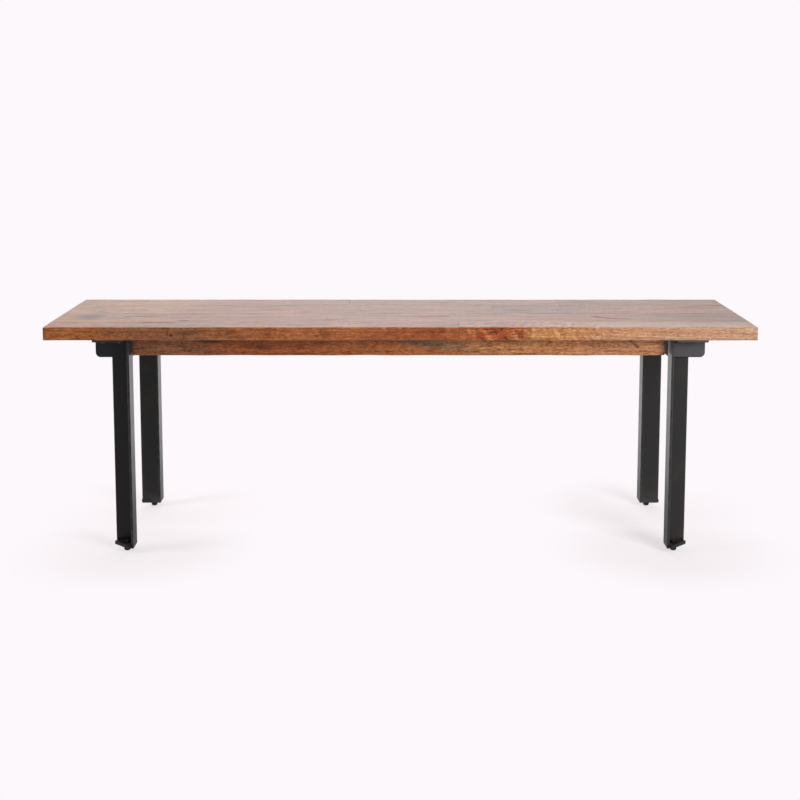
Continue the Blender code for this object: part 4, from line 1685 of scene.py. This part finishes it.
@dataclass
class WoodScrews:
    """Domed wood screws, driven upwards, with a cross-shaped recess in the head.

    Attributes:
        shank: Radius of the thread's crest.
        head: Radius of the head.
        head_height: Height of the head.
        pitch: Pitch of the thread.
        crown: Radius of the flat in the middle of the head.
        dome: Height of the dome.
        recess: Depth of the cross.
        sides: Steps round the axis.
    """

    shank: float = 0.0023
    head: float = 0.005
    head_height: float = 0.003
    pitch: float = 0.0018
    crown: float = 0.0024
    dome: float = 0.0021
    recess: float = 0.0014
    sides: int = 40

    def rings(self, block: Block, centre: Pair) -> np.ndarray:
        """Grid of one screw from its head up to its point, with a plain head."""
        low, high = block.low[2], block.high[2]
        seat = low + self.head_height
        turn = np.linspace(0, math.pi / 2, 8)
        crown_r = np.linspace(0.0004, self.crown, 6)[:-1]
        dome_r = self.crown + (self.head - self.crown) * np.sin(turn)
        dome_z = low + self.dome * (1 - np.cos(turn))
        under_r = [self.head, self.head - 0.0002, self.shank + 0.0003, self.shank * 0.8]
        under_z = [seat - 0.0003, seat, seat, seat + 0.0003]
        body_z = np.linspace(seat + 0.0006, high, int((high - seat) / self.pitch * 7))
        point = np.clip((high - body_z) / 0.004, 0.06, 1)[:, None]
        groove = np.clip(1.3 * thread(body_z, self.pitch, self.sides), 0, 1)
        smooth_r = np.concatenate([crown_r, dome_r, under_r])
        body_r = point * (self.shank - 0.0006 * groove)
        radius = np.concatenate([np.repeat(smooth_r[:, None], self.sides, 1), body_r])
        height = np.concatenate([np.full(len(crown_r), low), dome_z, under_z, body_z])
        return turned(centre, radius, height, self.sides)

    def crossed(self, rings: np.ndarray, centre: Pair, low: float, heading: float) -> np.ndarray:
        """Press the cross into the head.

        Args:
            rings: The screw's grid, which is changed.
            centre: World (x, y) of its axis.
            low: Height of the head's lowest point.
            heading: Direction of one arm of the cross.

        Returns:
            How deep in the cross each point lies, from 0 to 1.
        """
        local = rings[..., :2] - np.array(centre)
        ahead = np.array([math.cos(heading), math.sin(heading)])
        aside = np.array([-math.sin(heading), math.cos(heading)])
        beside = np.minimum(np.abs(local @ ahead), np.abs(local @ aside))
        narrow = np.clip((0.00075 - beside) / 0.0003, 0, 1)
        short = np.clip((0.0030 - np.hypot(local[..., 0], local[..., 1])) / 0.0006, 0, 1)
        share = narrow * short * (rings[..., 2] < low + 0.0012)
        rings[..., 2] += self.recess * share
        return share

    def build(self, nodes: list[str], steel: Material) -> None:
        """Make every screw, each turned its own way."""
        for node in nodes:
            block = Block.of(node)
            low = block.low[2]
            centre = (float(block.middle[0]), float(block.middle[1]))
            rings = self.rings(block, centre)
            heading = math.radians(37.0 * (hash_of(node) % 9))
            cross = self.crossed(rings, centre, low, heading)
            # The shank above the head is darkened by 0.4.
            darker_shank = np.where(rings[..., 2] > low + self.head_height, 0.4, 0.0)
            marks = {"groove": 0.8 * np.maximum(cross, darker_shank)}
            piece = skin(node.replace("_screw", "_wood_screw"), rings, marks, sharp=50)
            dress(piece, steel, "screw_steel", FRAME_BODY, node)


def hash_of(text: str) -> int:
    """A number that is always the same for the same name: the sum of its letters' codes."""
    return sum(ord(letter) for letter in text)


# ---------------------------------------------------------------------------------------------
# Studio
# ---------------------------------------------------------------------------------------------


@dataclass(frozen=True)
class SoftBox:
    """A square, soft studio lamp that neither the camera nor a shiny surface sees.

    Attributes:
        name: Its name.
        place: Where it hangs.
        target: What it aims at.
        size: Length of a side.
        power: Power in watts.
        colour: Colour of its light.
    """

    name: str
    place: Vec3
    target: Vec3
    size: float
    power: float
    colour: Rgb = (1.0, 1.0, 1.0)

    def build(self) -> None:
        """Hang the lamp and aim it at its target."""
        lamp = bpy.data.lights.new(self.name, "AREA")
        lamp.shape = "SQUARE"
        lamp.size = self.size
        lamp.energy = self.power
        lamp.color = self.colour
        holder = bpy.data.objects.new(self.name, lamp)
        holder.location = self.place
        aim = Vector(self.target) - Vector(self.place)
        holder.rotation_euler = aim.to_track_quat("-Z", "Y").to_euler()
        holder.visible_camera = False
        holder.visible_glossy = False
        bpy.context.scene.collection.objects.link(holder)


@dataclass(frozen=True)
class Studio:
    """A white sweep, soft light that comes mostly from the front right, and the camera.

    Attributes:
        paper: Colour of the sweep.
        room: Tint of the light that comes from all round.
        surround: Strength of that light from the front and from behind.
        narrowing: How much weaker it is from the sides.
        bounce: Strength of the light off the floor in front of the bench and behind it.
        shading: How much of the floor's brightness shadows can take away.
        fill: How much of the floor's light in the shade comes from all round.
        feet: Place of a foot, on the side where x and y are positive.
        floor_reach: Half the length of the floor.
        lamps: The lamps.
        camera_place: Where the camera stands.
        camera_pitch: How far it looks down, in radians.
        lens: Its focal length in millimetres.
        shift: Its vertical shift.
    """

    paper: Rgb = (0.982, 0.939, 0.973)
    room: Rgb = (1.0, 0.985, 0.99)
    surround: Pair = (0.22, 1.56)
    narrowing: float = 0.52
    bounce: Pair = (0.34, 1.16)
    shading: float = 0.50
    fill: float = 0.31
    feet: Vec3 = (0.54, 0.156, 0.0)
    floor_reach: float = 30.0
    lamps: tuple[SoftBox, ...] = (
        SoftBox("key", (1.30, -1.65, 0.88), (0.2, 0.0, 0.4), 0.8, 30.0, (1.0, 0.975, 0.95)),
        SoftBox("left", (-1.8, -0.5, 0.9), (-0.4, 0.0, 0.2), 0.6, 8.0, (1.0, 0.98, 0.97)),
        SoftBox("overhead", (-0.2, 0.0, 2.3), (-0.1, 0.0, 0.4), 1.6, 4.0, (1.0, 0.97, 0.94)),
    )
    camera_place: Vec3 = (-0.0006, -2.8784, 0.8847)
    camera_pitch: float = 0.1266
    lens: float = 63.92
    shift: float = -0.15

    def world(self) -> None:
        """Paper white to the camera, and dimmer round the front and sides to everything else."""
        g = Graph(bpy.data.worlds.new("studio"))
        x, y, _ = g.split(g.node("ShaderNodeTexCoord").outputs["Generated"])
        ahead = g.ease(y, -0.05, 0.85, *self.surround)
        aside = g.ease(g.math("ABSOLUTE", x), 0.04, 0.42, 1.0, 1.0 - self.narrowing)
        room = g.shade("ShaderNodeBackground", self.room, g.math("MULTIPLY", ahead, aside))
        paper = g.shade("ShaderNodeBackground", self.paper)
        bpy.context.scene.world = g.close(g.blend(g.seen(), room, paper), "ShaderNodeOutputWorld")

    def floor(self) -> None:
        """A wide pale floor that glows like lit paper and takes soft shadows near the feet."""
        half = self.floor_reach
        corners = [(-half, -half, 0), (half, -half, 0), (half, half, 0), (-half, half, 0)]
        mesh = bpy.data.meshes.new("floor")
        mesh.from_pydata(corners, [], [(0, 1, 2, 3)])
        piece = bpy.data.objects.new("floor", mesh)
        bpy.context.scene.collection.objects.link(piece)
        g = Graph.of("paper")
        point = g.point()
        folded = g.vector("SUBTRACT", g.vector("ABSOLUTE", point), self.feet)
        near = g.ease(g.vector("LENGTH", folded), 0.10, 0.28, 1.0, 0.0)
        matt = g.shade("ShaderNodeBsdfDiffuse", tuple(self.shading * value for value in self.paper))
        lamps = ((self.falling(g, point, lamp), -self.shading) for lamp in self.lamps)
        own = g.weigh(*lamps, base=1.0 - self.shading * self.fill)
        lit = g.node("ShaderNodeAddShader")
        g.tree.links.new(matt, lit.inputs[0])
        g.tree.links.new(g.shade("ShaderNodeEmission", self.paper, own), lit.inputs[1])
        seen = g.blend(near, g.shade("ShaderNodeEmission", self.paper), lit.outputs[0])
        strength = g.ease(g.split(point)[1], -0.15, 1.0, *self.bounce)
        bounce = g.shade("ShaderNodeEmission", strength=strength)
        mesh.materials.append(g.close(g.blend(g.seen(), bounce, seen)))

    @staticmethod
    def falling(g: Graph, point: object, lamp: SoftBox) -> object:
        """How much a lamp adds to white paper on the floor: power·cos·cos/(π·distance)²."""
        axis = (Vector(lamp.place) - Vector(lamp.target)).normalized()
        reach = g.vector("SUBTRACT", lamp.place, point)
        facing = g.vector("DOT_PRODUCT", reach, tuple(axis))
        fourth = g.math("POWER", g.vector("LENGTH", reach), -4.0)
        strength = lamp.power * lamp.place[2] / math.pi**2
        return g.math("MULTIPLY", g.math("MULTIPLY", facing, fourth), strength)

    def camera(self) -> None:
        """Set the camera at standing height in front of the bench, looking a little down."""
        data = bpy.data.cameras.new("camera")
        data.lens = self.lens
        data.sensor_width = 36.0
        data.shift_y = self.shift
        data.clip_start = 0.05
        data.clip_end = 200.0
        holder = bpy.data.objects.new("camera", data)
        holder.location = self.camera_place
        holder.rotation_euler = (math.pi / 2 - self.camera_pitch, 0.0, 0.0)
        bpy.context.scene.collection.objects.link(holder)
        bpy.context.scene.camera = holder

    def build(self) -> None:
        """Make the whole studio."""
        scene = bpy.context.scene
        scene.view_settings.view_transform = "Standard"
        scene.view_settings.look = "None"
        self.world()
        self.floor()
        for lamp in self.lamps:
            lamp.build()
        self.camera()


# ---------------------------------------------------------------------------------------------
# The bench
# ---------------------------------------------------------------------------------------------


def seat_looks(front: float, top: float) -> dict[str, OiledWood]:
    """The finish of each board of the seat.

    Args:
        front: World y of the seat's front edge.
        top: Height of the seat.

    Returns:
        Finishes by node.
    """
    knot, stain = MarkKind.KNOT, MarkKind.STAIN

    def spot(x: float, behind: float, size: float, strength: float = 0.7) -> Mark:
        """A small round knot in the top."""
        return Mark(knot, (x, front + behind, top), (size * 1.5, size, 0.02), strength)

    return {
        "board_front_left": OiledWood(
            AMBER, Figure.MOTTLED, 0.42, (-0.16, 0.32), 1.0, 0.9,
            (Turn(BROWN, -0.61, -0.50), Turn(AMBER, -0.40, -0.27), Turn(RUSSET, -0.14, 0.0)),
            marks=(
                Mark(knot, (-0.440, front, top - 0.016), (0.005, 0.010, 0.004), 0.85),
                Mark(stain, (-0.412, front, top - 0.012), (0.030, 0.014, 0.005), 0.55),
                Mark(stain, (-0.300, front, top - 0.018), (0.030, 0.014, 0.003), 0.30),
                Mark(knot, (-0.565, front, top - 0.014), (0.004, 0.008, 0.0025), 0.4),
            ),
        ),
        "board_front_middle": OiledWood(
            AMBER, Figure.CURLY, 0.55, (-0.12, 0.25), 2.0, 1.5,
            (Turn(FLAME, 0.135, 0.148, 1.6), Turn(GOLD, 0.20, 0.27, 1.0), Turn(HONEY, 0.33, 0.39)),
        ),
        "board_front_right": OiledWood(
            HONEY, Figure.MOTTLED, 0.25, (-0.20, 0.22), 3.0, 0.5, (Turn(TAN, 0.44, 0.54),),
            marks=(Mark(stain, (0.664, front, top - 0.014), (0.010, 0.006, 0.0016), 0.6),),
        ),
        "board_inner_front_left": OiledWood(
            COPPER, Figure.STRAIGHT, 0.30, (-0.02, 0.33), 4.0, 0.8, (Turn(ROSE, -0.58, -0.42),),
            marks=(
                Mark(stain, (-0.622, front + 0.128, top), (0.040, 0.052, 0.03), 0.80),
                Mark(stain, (-0.560, front + 0.112, top), (0.045, 0.016, 0.03), 0.45),
                spot(-0.500, 0.175, 0.004),
            ),
        ),
        "board_inner_front_right": OiledWood(
            ROSE, Figure.STRAIGHT, 0.32, (-0.10, 0.30), 5.0, -0.6, (Turn(UMBER, 0.36, 0.58),),
            marks=(spot(0.440, 0.150, 0.003), spot(-0.030, 0.172, 0.003)),
        ),
        "board_inner_rear_left": OiledWood(
            COPPER, Figure.STRAIGHT, 0.35, (0.09, 0.30), 6.0, 0.5, (Turn(ROSE, -0.52, -0.36),),
            marks=(
                Mark(stain, (-0.610, front + 0.192, top), (0.030, 0.020, 0.03), 0.5),
                spot(-0.560, 0.270, 0.004), spot(-0.490, 0.245, 0.004),
            ),
        ),
        "board_inner_rear_middle": OiledWood(
            ROSE, Figure.STRAIGHT, 0.35, (-0.02, 0.34), 7.0, -0.9,
            marks=(spot(-0.030, 0.190, 0.003), spot(0.015, 0.250, 0.004), spot(0.110, 0.182, 0.003)),
        ),
        "board_inner_rear_right": OiledWood(
            UMBER, Figure.CURLY, 0.25, (0.05, 0.28), 8.0, 0.7,
            (Turn(ROSE, 0.30, 0.44), Turn(BROWN, 0.52, 0.66)),
            marks=(spot(0.440, 0.250, 0.004),),
        ),
        "board_rear_left": OiledWood(
            COPPER, Figure.STRAIGHT, 0.30, (0.20, 0.30), 9.0, 0.6, (Turn(ROSE, -0.52, -0.38),),
        ),
        "board_rear_middle": OiledWood(
            ROSE, Figure.MOTTLED, 0.30, (0.10, 0.33), 10.0, -0.4, marks=(spot(0.190, 0.300, 0.003),),
        ),
        "board_rear_right": OiledWood(BROWN, Figure.STRAIGHT, 0.35, (0.16, 0.27), 11.0, 0.8),
    }


def rail_looks(front_rail: Block) -> dict[str, OiledWood]:
    """The finish of the two rails.

    Args:
        front_rail: The box of the front rail.

    Returns:
        Finishes by node.
    """
    face, top = front_rail.low[1], front_rail.high[2]
    stain = MarkKind.STAIN
    streaks = (
        Mark(stain, (-0.365, face, top - 0.008), (0.034, 0.02, 0.0045), 0.65),
        Mark(stain, (-0.270, face, top - 0.020), (0.024, 0.02, 0.0080), 0.50),
        Mark(stain, (-0.150, face, top - 0.010), (0.008, 0.02, 0.0030), 0.55),
        Mark(stain, (0.200, face, top - 0.005), (0.050, 0.02, 0.0050), 0.45),
    )
    gash = tuple(
        Mark(stain, (0.442 + 0.004 * step, face, top - 0.003 - 0.0032 * step), (0.0045, 0.02, 0.0034), 0.8)
        for step in range(6)
    )
    return {
        "front_rail": OiledWood(
            WALNUT, Figure.MOTTLED, 0.35, (-0.10, 0.30), 12.0, 1.2,
            (
                Turn(RUSSET, -0.42, -0.30), Turn(AMBER, -0.22, -0.08), Turn(SLATE, 0.010, 0.070, -7.0),
                Turn(GOLD, 0.06, 0.17, -1.5), Turn(COPPER, 0.30, 0.42, 2.0), Turn(BROWN, 0.50, 0.56),
            ),
            streaks + gash, 0.05, 0.46, float(front_rail.middle[2]),
        ),
        "rear_rail": OiledWood(
            RUSSET, Figure.STRAIGHT, 0.45, (0.20, 0.30), 13.0, -0.8, sheen=0.05, gloss=0.46,
        ),
    }


def main() -> None:
    """Build the bench's looks round the frame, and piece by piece."""
    logging.basicConfig(level=logging.INFO, format="%(name)s: %(message)s")
    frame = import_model()
    names = sorted(frame["nodes"])
    boards = [name for name in names if name.startswith("board_")]
    screws = [name for name in names if "_screw_" in name]
    whole = Block.of(*boards)
    corners = [Corner.read(name.removeprefix("leg_")) for name in names
               if name.startswith("leg_") and not name.startswith("leg_bracket_")]
    iron = BlackIron().build("black_iron")
    # A lighter copy of the coat: painted light for the right-hand legs.
    painted_light_iron = BlackIron((0.029, 0.0275, 0.0285), (0.040, 0.034, 0.031)).build("black_iron_painted_light")
    # A much lighter copy of the coat: a painted reflection of the key's glare on the front right bracket.
    painted_glare_iron = BlackIron((0.082, 0.079, 0.084), (0.104, 0.098, 0.098), gloss=0.58).build("black_iron_painted_glare")
    matt = BlackIron(gloss=0.80).build("black_iron_matt")
    zinc = BareMetal((0.66, 0.66, 0.64), (0.40, 0.39, 0.37), 0.34).build("zinc_plate")
    steel = BareMetal((0.30, 0.29, 0.28), (0.12, 0.115, 0.11), 0.42).build("screw_steel")
    nylon = MouldedNylon().build("glide_nylon")
    Studio().build()
    Seat(looks=seat_looks(float(whole.low[1]), float(whole.high[2]))).build(boards)
    Rails(looks=rail_looks(Block.of("front_rail"))).build()
    LegFrame().build(corners, iron, painted_light_iron, painted_glare_iron, matt)
    ScrewFeet().build(corners, iron, zinc, nylon)
    WoodScrews().build(screws, steel)


if __name__ == "__main__":
    main()
